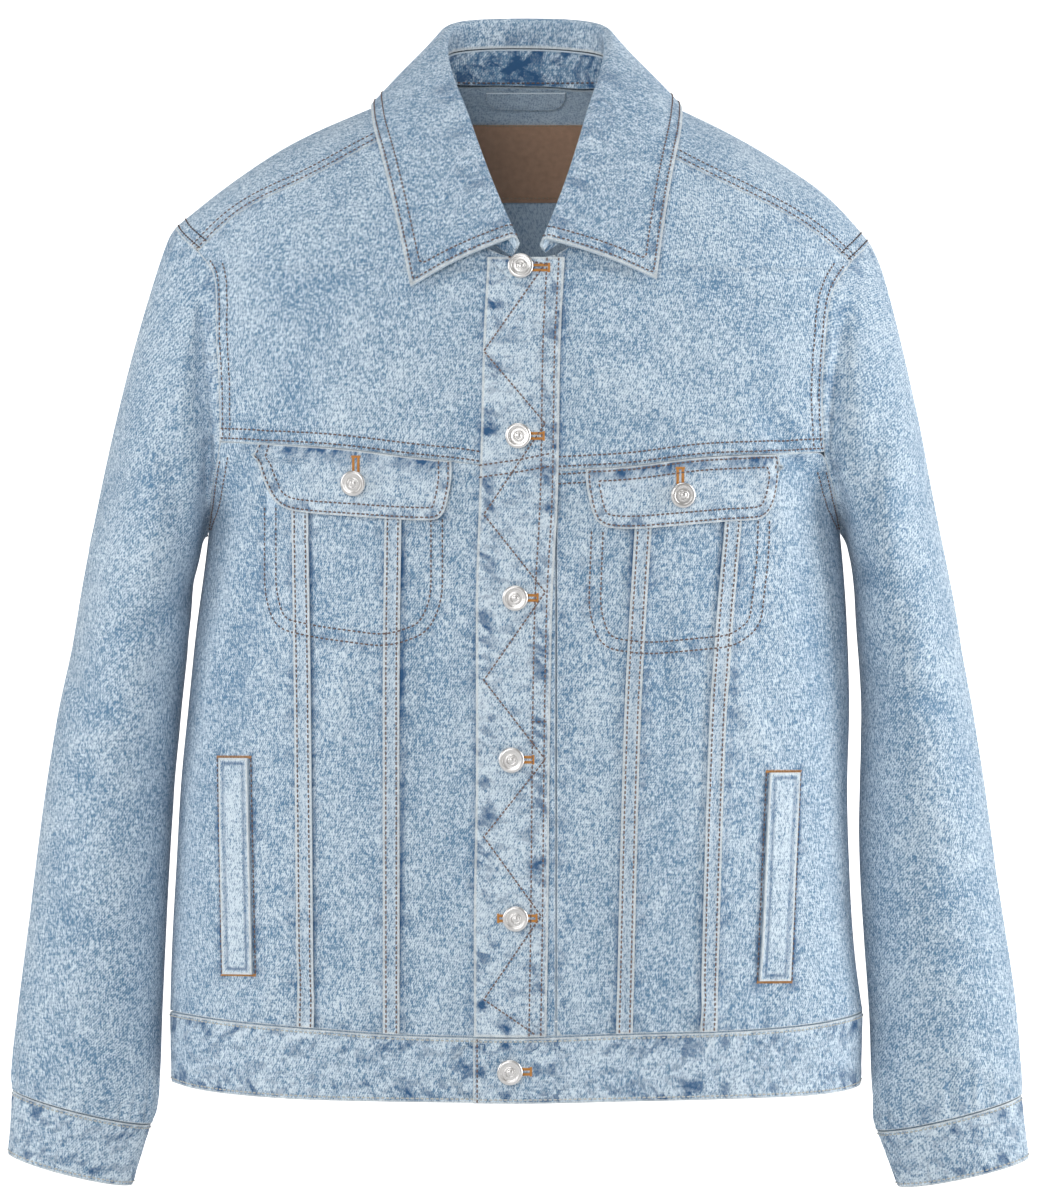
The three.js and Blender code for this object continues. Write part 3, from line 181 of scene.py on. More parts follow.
# Soft folds on the sleeves: degrees from the outer side to the front, z, lean, half length in degrees,
# half width and depth. The right sleeve has its own, a little lower and leaning the other way.
sleeveFolds = {
    "sleeve_left": [
        (100, -250, 14, 46, 10, -1.7), (76, -300, -10, 40, 9, 1.3), (120, -345, 20, 44, 9, -1.9),
        (70, -392, -16, 42, 8, -2.0), (110, -418, 12, 38, 8, 1.5), (92, -452, -20, 44, 9, -1.9),
        (60, -500, 16, 40, 9, -1.5), (112, -548, -14, 40, 9, -1.5), (84, -596, 10, 38, 8, 1.2),
        (120, -630, -16, 34, 8, -1.5), (250, -330, 16, 50, 10, -2.1), (270, -400, -14, 46, 9, -2.3),
        (258, -440, 18, 44, 9, 1.5), (280, -520, -12, 44, 10, -1.7), (262, -600, 14, 40, 9, -1.5)],
    "sleeve_right": [
        (96, -262, -14, 44, 10, -1.7), (118, -318, 12, 42, 9, -1.8), (72, -366, -18, 42, 8, 1.4),
        (104, -398, 16, 40, 8, -2.2), (70, -436, -12, 42, 9, -1.7), (116, -474, 18, 40, 8, 1.3),
        (88, -520, -14, 42, 9, -1.7), (120, -566, 12, 38, 9, -1.4), (78, -612, -12, 38, 8, -1.3),
        (108, -640, 10, 34, 8, 1.2), (256, -340, -16, 50, 10, -2.1), (274, -410, 14, 46, 9, -2.3),
        (262, -450, -16, 44, 9, 1.5), (282, -530, 12, 44, 10, -1.7), (264, -606, -14, 40, 9, -1.5)],
}

foldShare = dict(body=2.3, sleeves=1.4)
bodyShape = dict(halfWidth=228.0, halfDepth=115.0, middleY=0.0)
sleeveShape = dict(middleX=-262.0, topZ=-180.0, lean=-0.115, middleY=8.0)


# Cloth geometry


# Keeps a wall's outer face as quads
def outerSide(piece):
    built = bmesh.new()
    built.from_mesh(piece.data)
    bmesh.ops.remove_doubles(built, verts=built.verts, dist=0.002 * mm)
    sharp = math.radians(62 if "sleeve" in piece.name else 50)
    seen = set()
    groups = []
    for start in built.faces:
        if start in seen:
            continue
        seen.add(start)
        group = [start]
        for face in group:
            for edge in face.edges:
                if len(edge.link_faces) == 2 and edge.calc_face_angle(math.pi) < sharp:
                    for other in edge.link_faces:
                        if other not in seen:
                            seen.add(other)
                            group.append(other)
        groups.append((sum(face.calc_area() for face in group), group))
    keep = set(max(groups, key=lambda entry: entry[0])[1])
    bmesh.ops.delete(built, geom=[face for face in built.faces if face not in keep], context="FACES")
    bmesh.ops.join_triangles(built, faces=built.faces, angle_face_threshold=math.radians(60),
                             angle_shape_threshold=math.radians(80))
    built.to_mesh(piece.data)
    built.free()
    piece.data.update()


# The sides of a sheet, or the two ends of a tube, as ordered points
def boundarySides(piece):
    built = bmesh.new()
    built.from_mesh(piece.data)
    nextOnes = {}
    for edge in built.edges:
        if len(edge.link_faces) == 1:
            a, b = edge.verts
            nextOnes.setdefault(a, []).append(b)
            nextOnes.setdefault(b, []).append(a)
    corners = {v for v in nextOnes if len(v.link_faces) == 1}
    sides = []
    left = set(nextOnes)
    for start in [v for v in nextOnes if v in corners] + list(nextOnes):
        ways = nextOnes[start][:1]
        if start in corners:
            ways = [w for w in nextOnes[start] if w in left or w in corners]
        if start not in corners and start not in left:
            continue
        for way in ways:
            if start in corners and way not in left and way not in corners:
                continue
            line = [start]
            here, before = way, start
            while True:
                line.append(here)
                left.discard(here)
                if here in corners or here is start:
                    break
                ahead = [w for w in nextOnes[here] if w is not before]
                if not ahead:
                    break
                before, here = here, ahead[0]
            left.discard(start)
            ends = {line[0].index, line[-1].index}
            if not any(ends == {s[0], s[1]} and abs(s[2] - len(line)) == 0 for s in sides):
                points = np.array([tuple(v.co) for v in line]) / mm
                sides.append((line[0].index, line[-1].index, len(line), points))
    built.free()
    return [entry[3] for entry in sides]


# The side whose nearest point to a place seen from the front is closest, with its middle as a tie-break
def sideNear(sides, place):
    def off(points):
        flat = points[:, [0, 2]]
        middle = flat[len(flat) // 2]
        return np.min(np.hypot(*(flat - place).T)) + 0.02 * np.hypot(*(middle - place))
    return min(sides, key=off)


# Distance to a line and the way along it, in mm
def nearestOn(points, line):
    starts, ends = line[:-1], line[1:]
    runs = ends - starts
    lengths = np.linalg.norm(runs, axis=1)
    reached = np.concatenate([[0], np.cumsum(lengths)])
    best = np.full(len(points), 1e9)
    along = np.zeros(len(points))
    for k in range(len(starts)):
        share = np.clip(((points - starts[k]) @ runs[k]) / max(lengths[k] ** 2, 1e-9), 0, 1)
        off = np.linalg.norm(points - starts[k] - share[:, None] * runs[k], axis=1)
        closer = off < best
        best[closer] = off[closer]
        along[closer] = (reached[k] + share * lengths[k])[closer]
    return best, along


# Arc length of the body's quarter section against the angle
def quarterArc():
    angles = np.linspace(0, math.pi / 2, 60)
    x = bodyShape["halfWidth"] * np.sin(angles) ** (2 / 2.4)
    y = bodyShape["halfDepth"] * np.cos(angles) ** (2 / 2.2)
    arc = np.concatenate([[0], np.cumsum(np.hypot(np.diff(x), np.diff(y)))])
    return np.arctan2(x / bodyShape["halfWidth"], y / bodyShape["halfDepth"]), arc


arcAngles, arcLengths = quarterArc()


def bodyAngle(points):
    return np.arctan2(points[:, 0] / bodyShape["halfWidth"], -points[:, 1] / bodyShape["halfDepth"])


# Where each point lies on the flat cloth, in mm: across to the viewer's right, and up
def grainOf(name, points):
    if name.startswith(("sleeve", "cuff")):
        hand = 1 if name.endswith("right") else -1
        level = points[:, 2] - sleeveShape["topZ"]
        middle = hand * (-sleeveShape["middleX"] + level * sleeveShape["lean"])
        across = (points[:, 0] - middle) * hand
        depth = points[:, 1] - sleeveShape["middleY"]
        angle = np.arctan2(across, -depth) * hand
        radius = np.clip(66 + level * 0.05, 38, 70)
        return np.stack([angle * radius, points[:, 2] * 1.02], axis=1)
    if name.startswith("collar") or name in ("hanger_loop", "label"):
        return np.stack([points[:, 0], points[:, 2] + 0.7 * points[:, 1]], axis=1)
    angle = bodyAngle(points)
    quarter = arcLengths[-1]
    front = np.abs(angle) <= math.pi / 2
    across = np.where(front, np.sign(angle) * np.interp(np.abs(angle), arcAngles, arcLengths), 0)
    behind = np.interp(math.pi - np.abs(angle), arcAngles, arcLengths)
    across = np.where(front, across, 2 * quarter - np.sign(angle) * behind)
    overTop = np.where(points[:, 2] > -110, np.abs(points[:, 1]) * 0.3, 0)
    return np.stack([across, points[:, 2] - overTop], axis=1)


# Sum of body folds, above 0 outwards
def soften(points, folds):
    front = points[:, 1] < 0
    depth = np.zeros(len(points))
    for side, x, z, lean, length, width, height in folds:
        turn = math.radians(lean)
        dx, dz = points[:, 0] - x, points[:, 2] - z
        along = (dx * math.cos(turn) + dz * math.sin(turn)) / length
        across = (dz * math.cos(turn) - dx * math.sin(turn)) / width
        here = front if side == "front" else ~front
        depth += np.where(here, foldShare["body"] * height * np.exp(-along ** 2 - across ** 2), 0)
    return depth


def softenSleeve(name, points):
    hand = 1 if name.endswith("right") else -1
    level = points[:, 2] - sleeveShape["topZ"]
    middle = hand * (-sleeveShape["middleX"] + level * sleeveShape["lean"])
    forward = sleeveShape["middleY"] - points[:, 1]
    angle = np.degrees(np.arctan2(forward, (points[:, 0] - middle) * hand)) % 360
    depth = np.zeros(len(points))
    for turn, z, lean, spread, width, height in sleeveFolds[name]:
        off = angle - turn
        across = (points[:, 2] - z - lean * off / 45) / width
        depth += foldShare["sleeves"] * height * np.exp(-(off / spread) ** 2 - across ** 2)
    return depth


# A smooth uneven wave between about -1 and 1
def wander(values, seed):
    shift = rngShift(seed)
    return (np.sin(values + shift[0]) + 0.6 * np.sin(values * 0.47 + shift[1])
            + 0.45 * np.sin(values * 1.73 + shift[2])) / 1.6


def rngShift(seed):
    return np.random.default_rng(seed).uniform(0, 2 * math.pi, 3)


# Lines sewn on the front, as (x, z) and how much painted shadow lies on the cloth right beside them, where
# the sewn-on edge casts shade: strips, placket, hand pockets and the chest pockets' outlines.
pocketLines = [
    [(-170, -268), (-170, -326), (-163, -349), (-137, -355), (-88, -361.5), (-61, -352),
     (-51.5, -330), (-51.5, -276)],
    [(47.5, -284), (45.5, -338), (54, -362), (84, -366.5), (143, -361), (160, -348),
     (165.5, -300), (166, -277)],
]
leftLines = [
    ([(-151.5, -264), (-149, -615)], 0.3), ([(-140.3, -264), (-137, -615)], 0.9),
    ([(-89.7, -264), (-91, -615)], 0.3), ([(-78.3, -264), (-79.5, -615)], 0.9),
    ([(-24.5, -240), (-29, -360), (-29.5, -615)], 0.5), (pocketLines[0], 0.0),
    ([(-201.5, -434), (-198.5, -581)], 0.75), ([(-179, -434), (-176.5, -581)], 0.5),
]
rightLines = [
    ([(76.3, -264), (63.6, -615)], 0.9), ([(87.7, -264), (75, -615)], 0.3),
    ([(136.3, -264), (119.3, -615)], 0.9), ([(147.7, -264), (131, -615)], 0.3),
    ([(25.5, -240), (20.5, -415), (17.5, -615)], 0.5), (pocketLines[1], 0.0),
    ([(187, -443), (181, -586)], 0.75), ([(164, -443), (158, -586)], 0.5),
]
seamLines = {
    "front_panel_left": leftLines, "front_panel_right": rightLines,
    "front_yoke_left": [([(-21.5, -100), (-26, -235)], 0.5)],
    "front_yoke_right": [([(29.5, -100), (25.5, -240)], 0.5)],
}
finished = {}
sidesOf = {}


# Brings a sleeve's head to the armhole edge of the body, so that no gap shows between them
def joinArmhole(name, points, sides):
    hand = "right" if name.endswith("right") else "left"
    bodyEdges = [line for part in ("front_yoke_" + hand, "front_panel_" + hand, "back_yoke", "back_panel")
                 for line in sidesOf[part]]
    head = max(sides, key=lambda line: line[:, 2].mean())
    offsets = []
    for point in head:
        best = None
        for line in bodyEdges:
            gaps = line - point
            sizes = np.linalg.norm(gaps, axis=1)
            if best is None or sizes.min() < np.linalg.norm(best):
                best = gaps[sizes.argmin()]
        offsets.append(best if np.linalg.norm(best) < 14 else best * 0)
    offsets = np.array(offsets)
    print("sleeve head gap", name, np.linalg.norm(offsets, axis=1).mean().round(2), "mm")
    moved = points.copy()
    for i, point in enumerate(points):
        sizes = np.linalg.norm(head - point, axis=1)
        nearest = sizes.argmin()
        if sizes[nearest] < 18:
            moved[i] += offsets[nearest] * float(1 - smoothStep(0, 18, sizes[nearest]))
    return moved


# A thin shell on the form of its solid, with folds and puckers, and what its material reads
def makeCloth(name, settings, materials, carriers=()):
    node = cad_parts[name]
    piece = bpy.data.objects.new("cloth_" + name, node.data.copy())
    scene.collection.objects.link(piece)
    piece.data.transform(node.matrix_world)
    outerSide(piece)
    activate(piece)
    smoothing = piece.modifiers.new("smoothing", "SUBSURF")
    smoothing.levels = smoothing.render_levels = settings["level"]
    smoothing.boundary_smooth = "PRESERVE_CORNERS"
    applyModifiers(piece)
    points, normals = pointsOf(piece), normalsOf(piece)
    sides = boundarySides(piece)
    edge = np.full(len(points), 1e9)
    along = np.zeros(len(points))
    for side in sides:
        off, way = nearestOn(points, side)
        closer = off < edge
        edge[closer] = off[closer]
        along[closer] = way[closer]
    height = np.zeros(len(points))
    shade = np.zeros(len(points))
    seamOff, seamWay = edge.copy(), along.copy()
    for line, dark in seamLines.get(name, ()):
        off, way = nearestOn(points * (1, 0, 1), np.array([(x, 0, z) for x, z in line], dtype=float))
        closer = off < seamOff
        seamOff[closer] = off[closer]
        seamWay[closer] = way[closer]
        # Painted shadow: a thin darker line on the cloth just beside each sewn-on edge
        shade = np.maximum(shade, dark * np.exp(-(off / 1.7) ** 2))
        height += 0.42 * wander(way * 2 * math.pi / 13, len(line)) * np.exp(-(off / 8) ** 2)
    # Each groove is sunk into the surface, and its trough is drawn darker as painted shade
    for distance, width, depth, dark in settings.get("grooves", ()):
        trough = np.exp(-((edge - distance) / width) ** 2)
        height -= depth * trough
        shade = np.maximum(shade, dark * trough)
    for place, reach, dark in settings.get("deepSides", ()):
        off, way = nearestOn(points, sideNear(sides, place))
        shade = np.maximum(shade, dark * np.exp(-(off / reach) ** 2) * (0.55 + 0.45 * wander(way / 3, 4)))
    if name in sleeveFolds:
        height += softenSleeve(name, points)
    elif not name.startswith(("cuff", "collar", "label", "hanger", "pocket_bag")):
        height += soften(points, bodyFolds)
    for place, spacing, reach, depth, lean in settings["puckers"]:
        off, way = nearestOn(points, sideNear(sides, place))
        wave = wander((way + lean * off) * 2 * math.pi / spacing, len(name) + spacing)
        size = 0.65 + 0.35 * wander(way / 23, spacing)
        height += depth * size * wave * smoothStep(0, 5, off) * np.exp(-(off / reach) ** 2)
    if name in sleeveFolds:
        height *= smoothStep(0, 8, edge)
    elif "grooves" not in settings:
        height *= smoothStep(0, 4, edge)
    points = points + normals * height[:, None]
    points[:, 1] -= settings.get("forward", 0)
    if name in sleeveFolds:
        points = joinArmhole(name, points, sides)
    if carriers:
        points = restOn(points, carriers, settings["wall"] + 0.3)
    setPoints(piece, points)
    grain = grainOf(name, points)
    setAttribute(piece, "across", grain[:, 0])
    setAttribute(piece, "up", grain[:, 1])
    setAttribute(piece, "edge", edge)
    setAttribute(piece, "seam", seamOff)
    setAttribute(piece, "along", seamWay)
    setAttribute(piece, "shade", shade)
    setAttribute(piece, "fold", height)
    sidesOf[name] = [pointsOn(piece, side) for side in sides]
    finished[name] = surfaceOf(piece)
    piece.data.materials.clear()
    for material in materials:
        piece.data.materials.append(material)
    thickness = piece.modifiers.new("thickness", "SOLIDIFY")
    thickness.thickness = settings["wall"] * mm
    thickness.offset = -1
    thickness.use_even_offset = False
    thickness.material_offset = 1
    thickness.material_offset_rim = 2
    applyModifiers(piece)
    for face in piece.data.polygons:
        face.use_smooth = True
    activate(piece)
    bpy.ops.object.shade_smooth_by_angle(angle=math.radians(60))
    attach(piece, "root")
    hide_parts(name)
    return piece


# A side's points after the piece was shaped
def pointsOn(piece, side):
    tree = surfaceOf(piece)
    moved = []
    for point in side:
        found = tree.find_nearest(Vector(point * mm))
        moved.append(np.array(found[0]) / mm)
    return np.array(moved)


def surfaceOf(piece):
    vertices = [v.co.copy() for v in piece.data.vertices]
    polygons = [tuple(face.vertices) for face in piece.data.polygons]
    return BVHTree.FromPolygons(vertices, polygons)


# Lifts points that would sink into the cloth below them
def restOn(points, carriers, clearance):
    trees = [finished[name] for name in carriers]
    lifted = points.copy()
    for i, point in enumerate(points):
        for tree in trees:
            place, normal, _, distance = tree.find_nearest(Vector(point * mm), 12 * mm)
            if place is None:
                continue
            outward = normal if normal.y < 0 or abs(normal.y) < 0.2 else -normal
            stand = (Vector(lifted[i] * mm) - place).dot(outward) / mm
            if stand < clearance:
                lifted[i] += np.array(outward) * (clearance - stand)
    return lifted


# Materials


def nodeSetter(tree):
    def add(kind, inputs=None, **settings):
        node = tree.nodes.new(kind)
        for key, value in settings.items():
            setattr(node, key, value)
        for key, value in (inputs or {}).items():
            if isinstance(value, bpy.types.NodeSocket):
                tree.links.new(value, node.inputs[key])
            else:
                node.inputs[key].default_value = value
        return node
    return add


# A screen colour from 0 to 255 as linear light
def colour(red, green, toneAndFoldShade):
    def linear(value):
        share = value / 255
        return share / 12.92 if share <= 0.04045 else ((share + 0.055) / 1.055) ** 2.4
    return (linear(red), linear(green), linear(toneAndFoldShade), 1)


def groupNode(name, inputs, outputs):
    group = bpy.data.node_groups.new(name, "ShaderNodeTree")
    for label, kind, value in inputs:
        socket = group.interface.new_socket(name=label, in_out="INPUT", socket_type=kind)
        socket.default_value = value
    for label, kind in outputs:
        group.interface.new_socket(name=label, in_out="OUTPUT", socket_type=kind)
    add = nodeSetter(group)
    return group, add, add("NodeGroupInput"), add("NodeGroupOutput")


# Colour, height and a wear mask of washed twill, from where a point lies on the cloth and its seams; the
# colour also carries painted light and shade on folds and painted shadow beside sewn-on edges and in grooves
def denimGroup():
    group, add, given, out = groupNode("washedTwill", [
        ("Place", "NodeSocketVector", (0, 0, 0)),
        ("Across", "NodeSocketFloat", 0), ("Up", "NodeSocketFloat", 0), ("Edge", "NodeSocketFloat", 50),
        ("Seam", "NodeSocketFloat", 50), ("Along", "NodeSocketFloat", 0), ("Shade", "NodeSocketFloat", 0),
        ("Fold", "NodeSocketFloat", 0), ("Pale", "NodeSocketColor", (1, 1, 1, 1)),
        ("Blue", "NodeSocketColor", (0, 0, 1, 1)), ("Deep", "NodeSocketColor", (0, 0, 0.5, 1)),
        ("Blueness", "NodeSocketFloat", 0.5), ("Roping", "NodeSocketFloat", 0.5),
        ("Roping reach", "NodeSocketFloat", 12), ("Edge wear", "NodeSocketFloat", 1.3),
        ("Marbling", "NodeSocketFloat", 0.2)],
        [("Color", "NodeSocketColor"), ("Height", "NodeSocketFloat"), ("Worn", "NodeSocketFloat")])

    def math2(operation, a, b=0.0, clamp=False):
        node = add("ShaderNodeMath", {0: a, 1: b}, operation=operation, use_clamp=clamp)
        return node.outputs[0]

    def vector(x, y, z=0.0):
        return add("ShaderNodeCombineXYZ", {0: x, 1: y, 2: z}).outputs[0]

    def noiseAt(place, scale, detail=2.0, rough=0.5):
        inputs = {"Vector": place, "Scale": scale, "Detail": detail, "Roughness": rough}
        return add("ShaderNodeTexNoise", inputs).outputs["Fac"]

    def spread(value, low, high, first=0.0, last=1.0):
        limits = {0: value, 1: low, 2: high, 3: first, 4: last}
        return add("ShaderNodeMapRange", limits, interpolation_type="SMOOTHSTEP").outputs[0]

    across, up = given.outputs["Across"], given.outputs["Up"]
    cloth = given.outputs["Place"]

    def stretched(x, y, z):
        return add("ShaderNodeVectorMath", {0: cloth, 1: (x, y, z)}, operation="MULTIPLY").outputs[0]

    wobble = noiseAt(cloth, 0.35, 2.0)
    # twill lines rise to the right, 1.4 mm apart
    lineWay = math2("SUBTRACT", math2("MULTIPLY", across, 0.82 / 1.4), math2("MULTIPLY", up, 0.57 / 1.4))
    phase = math2("MULTIPLY", math2("ADD", lineWay, math2("MULTIPLY", wobble, 0.9)), 2 * math.pi)
    twill = math2("MULTIPLY_ADD", math2("SINE", phase), 0.5)
    twill.node.inputs[2].default_value = 0.5
    yarn = noiseAt(stretched(0.95, 0.95, 0.34), 1.0, 3.0, 0.7)
    weft = noiseAt(stretched(0.28, 0.28, 0.9), 1.0, 2.0, 0.6)
    clouds = noiseAt(cloth, 0.035, 3.0, 0.6)
    flecks = noiseAt(cloth, 0.16, 3.0, 0.65)
    slanted = math2("ADD", given.outputs["Along"], math2("MULTIPLY", given.outputs["Seam"], 0.6))
    rope = noiseAt(vector(math2("MULTIPLY", slanted, 0.115),
                          math2("MULTIPLY", given.outputs["Seam"], 0.06), 3.7), 1.0, 2.0, 0.6)
    ropeNear = spread(math2("DIVIDE", given.outputs["Seam"], given.outputs["Roping reach"]), 1.35, 0.3)
    ropeShare = math2("MULTIPLY", ropeNear, given.outputs["Roping"])
    ropeDark = math2("MULTIPLY", spread(rope, 0.5, 0.66), ropeShare)
    ropePale = math2("MULTIPLY", spread(rope, 0.5, 0.36), ropeShare)
    marble = math2("MULTIPLY", spread(noiseAt(stretched(0.09, 0.09, 0.15), 1.0, 3.0, 0.62), 0.5, 0.64),
                   given.outputs["Marbling"])
    toneAndFoldShade = given.outputs["Blueness"]
    toneAndFoldShade = math2("ADD", toneAndFoldShade, math2("MULTIPLY", math2("SUBTRACT", clouds, 0.5), 0.65))
    toneAndFoldShade = math2("ADD", toneAndFoldShade, math2("MULTIPLY", math2("SUBTRACT", flecks, 0.5), 0.6))
    toneAndFoldShade = math2("ADD", toneAndFoldShade, math2("MULTIPLY", math2("SUBTRACT", yarn, 0.5), 4.2))
    toneAndFoldShade = math2("ADD", toneAndFoldShade, math2("MULTIPLY", math2("SUBTRACT", weft, 0.5), 1.6))
    toneAndFoldShade = math2("ADD", toneAndFoldShade, math2("MULTIPLY", math2("SUBTRACT", twill, 0.5), 0.36))
    # Painted light and shade: cloth raised by folds and puckers is drawn paler, and troughs and grooves bluer
    # and darker
    toneAndFoldShade = math2("ADD", toneAndFoldShade, math2("MULTIPLY", given.outputs["Fold"], -0.07))
    toneAndFoldShade = math2("ADD", toneAndFoldShade, math2("MULTIPLY", ropePale, -0.3), clamp=True)
    base = mixColour(add, toneAndFoldShade, given.outputs["Pale"], given.outputs["Blue"])
    deepWashAndShadeMask = math2("ADD", math2("MULTIPLY", ropeDark, 0.8), math2("MULTIPLY", marble, 0.75))
    # The Shade attribute pulls the colour towards deep blue as painted shadow beside sewn-on edges and in
    # grooves; it also darkens a band along the flaps' top sides. Roping and marbling are the wash's own deep
    # blue.
    deepWashAndShadeMask = math2("ADD", deepWashAndShadeMask, math2("MULTIPLY", given.outputs["Shade"], 0.9), clamp=True)
    base = mixColour(add, deepWashAndShadeMask, base, given.outputs["Deep"])
    wearNoise = math2("ADD", given.outputs["Edge"], math2("MULTIPLY", noiseAt(cloth, 0.5, 2.0), 1.2))
    worn = spread(math2("DIVIDE", wearNoise, given.outputs["Edge wear"]), 1.5, 0.8)
    base = mixColour(add, math2("MULTIPLY", worn, 0.68), base, colour(222, 227, 227))
    height = math2("ADD", math2("MULTIPLY", twill, 0.5), math2("MULTIPLY", yarn, 0.6))
    height = math2("ADD", height, math2("MULTIPLY", math2("SUBTRACT", ropePale, ropeDark), 1.3))
    links = group.links
    links.new(base, out.inputs["Color"])
    links.new(height, out.inputs["Height"])
    links.new(worn, out.inputs["Worn"])
    return group


def mixColour(add, factor, first, second):
    node = add("ShaderNodeMix", data_type="RGBA")
    tree = node.id_data
    for index, value in ((0, factor), (6, first), (7, second)):
        if isinstance(value, bpy.types.NodeSocket):
            tree.links.new(value, node.inputs[index])
        else:
            node.inputs[index].default_value = value
    return node.outputs[2]


washedTwill = denimGroup()

# Washes: paler or bluer grounds and how strongly seams rope and panels marble
denimWashes = {
    "denimPanel": dict(blueness=0.54, roping=0.5, reach=7, wear=0.9, marbling=0.05),
    "denimSleeve": dict(blueness=0.54, roping=0.5, reach=14, wear=0.9, marbling=0.0),
    "denimBand": dict(blueness=0.44, roping=0.9, reach=16, wear=1.5, marbling=0.5),
    "denimPlacket": dict(blueness=0.32, roping=0.9, reach=14, wear=1.9, marbling=0.5),
    "denimTrim": dict(blueness=0.26, roping=0.25, reach=4, wear=1.7, marbling=0.0),
    "denimLoop": dict(blueness=0.3, roping=0.2, reach=4, wear=2.8, marbling=0.0),
    "denimFlap": dict(blueness=0.34, roping=0.8, reach=9, wear=1.4, marbling=0.25),
    "denimCollar": dict(blueness=0.6, roping=0.6, reach=12, wear=2.0, marbling=0.15),
    "denimStand": dict(blueness=0.8, roping=1.0, reach=16, wear=0.6, marbling=1.2),
    "denimReverse": dict(blueness=0.3, roping=0.2, reach=6, wear=0.6, marbling=0.0),
}
paleBlue = colour(222, 236, 246)
midBlue = colour(94, 134, 168)
# deepBlue is the wash's darkest blue in roping and marbling, and also the colour of painted shadow beside
# sewn-on edges and in grooves
deepBlue = colour(50, 92, 134)
reversePale = colour(222, 238, 250)
reverseBlue = colour(150, 178, 204)


def denimMaterial(name, wash):
    material = bpy.data.materials.new(name)
    material.use_nodes = True
    tree = material.node_tree
    add = nodeSetter(tree)
    shader = tree.nodes["Principled BSDF"]
    reverse = name == "denimReverse"
    given = {"Pale": reversePale if reverse else paleBlue, "Blue": reverseBlue if reverse else midBlue,
             "Deep": deepBlue, "Blueness": wash["blueness"], "Roping": wash["roping"],
             "Roping reach": wash["reach"], "Edge wear": wash["wear"], "Marbling": wash["marbling"]}
    for label in ("Across", "Up", "Edge", "Seam", "Along", "Shade", "Fold"):
        given[label] = add("ShaderNodeAttribute", attribute_name=label.lower()).outputs["Fac"]
    inMetres = add("ShaderNodeTexCoord").outputs["Object"]
    given["Place"] = add("ShaderNodeVectorMath", {0: inMetres, 1: (1 / mm, 1 / mm, 1 / mm)},
                         operation="MULTIPLY").outputs[0]
    twill = add("ShaderNodeGroup", node_tree=washedTwill)
    for label, value in given.items():
        if isinstance(value, bpy.types.NodeSocket):
            tree.links.new(value, twill.inputs[label])
        else:
            twill.inputs[label].default_value = value
    bump = add("ShaderNodeBump", {"Height": twill.outputs["Height"], "Strength": 0.5, "Distance": 0.35 * mm})
    tree.links.new(twill.outputs["Color"], shader.inputs["Base Color"])
    tree.links.new(bump.outputs["Normal"], shader.inputs["Normal"])
    shader.inputs["Roughness"].default_value = 0.88
    shader.inputs["Specular IOR Level"].default_value = 0.25
    shader.inputs["Sheen Weight"].default_value = 0.12
    shader.inputs["Sheen Roughness"].default_value = 0.6
    return material


denims = {name: denimMaterial(name, wash) for name, wash in denimWashes.items()}


# One finish with fine unevenness in its colour and surface
def plainMaterial(name, base, rough, metal=0.0, grainScale=600.0, grainAmount=0.25, bumpDistance=0.1):
    material = bpy.data.materials.new(name)
    material.use_nodes = True
    tree = material.node_tree
    add = nodeSetter(tree)
    shader = tree.nodes["Principled BSDF"]
    place = add("ShaderNodeTexCoord").outputs["Object"]
    grain = add("ShaderNodeTexNoise", {"Vector": place, "Scale": grainScale, "Detail": 3.0})
    dark = tuple(channel * (1 - grainAmount) for channel in base[:3]) + (1,)
    pale = tuple(min(1, channel * (1 + grainAmount)) for channel in base[:3]) + (1,)
    mixed = mixColour(add, grain.outputs["Fac"], dark, pale)
    tree.links.new(mixed, shader.inputs["Base Color"])
    bump = add("ShaderNodeBump", {"Height": grain.outputs["Fac"], "Strength": 0.4,
                                  "Distance": bumpDistance * mm})
    tree.links.new(bump.outputs["Normal"], shader.inputs["Normal"])
    shader.inputs["Roughness"].default_value = rough
    shader.inputs["Metallic"].default_value = metal
    return material


wornRim = plainMaterial("wornRim", colour(196, 210, 220), 0.9, grainScale=900.0, grainAmount=0.18)
threads = {
    "brown": plainMaterial("threadBrown", colour(118, 98, 92), 0.7, grainScale=2500.0),
    "pale": plainMaterial("threadPale", colour(196, 196, 190), 0.7, grainScale=2500.0),
    "orange": plainMaterial("threadOrange", colour(206, 146, 78), 0.65, grainScale=2500.0),
    "tan": plainMaterial("threadTan", colour(186, 158, 132), 0.7, grainScale=2500.0),
}
buttonSteel = plainMaterial("buttonSteel", colour(226, 224, 222), 0.3, metal=1.0, grainScale=1500.0,
                            grainAmount=0.06, bumpDistance=0.03)
leather = plainMaterial("labelLeather", colour(202, 158, 128), 0.62, grainScale=260.0, grainAmount=0.2,
                        bumpDistance=0.15)

# Cloth pieces, from the panels out to what lies on them

washOf = {
    "front_panel_left": "denimPanel", "front_panel_right": "denimPanel", "back_panel": "denimPanel",
    "front_yoke_left": "denimPanel", "front_yoke_right": "denimPanel", "back_yoke": "denimPanel",
    "sleeve_left": "denimSleeve", "sleeve_right": "denimSleeve", "cuff_left": "denimBand",
    "cuff_right": "denimBand", "hem_band": "denimBand", "placket": "denimPlacket",
    "pocket_flap_left": "denimFlap", "pocket_flap_right": "denimFlap", "collar_leaf": "denimCollar",
    "collar_stand": "denimStand", "seam_strip_left_outer": "denimTrim", "seam_strip_left_inner": "denimTrim",
    "seam_strip_right_inner": "denimTrim", "seam_strip_right_outer": "denimTrim", "welt_left": "denimTrim",
    "welt_right": "denimTrim", "pocket_bag_left": "denimReverse", "pocket_bag_right": "denimReverse",
    "hanger_loop": "denimLoop",
}
frontCloth = ["front_panel_left", "front_panel_right", "front_yoke_left", "front_yoke_right"]
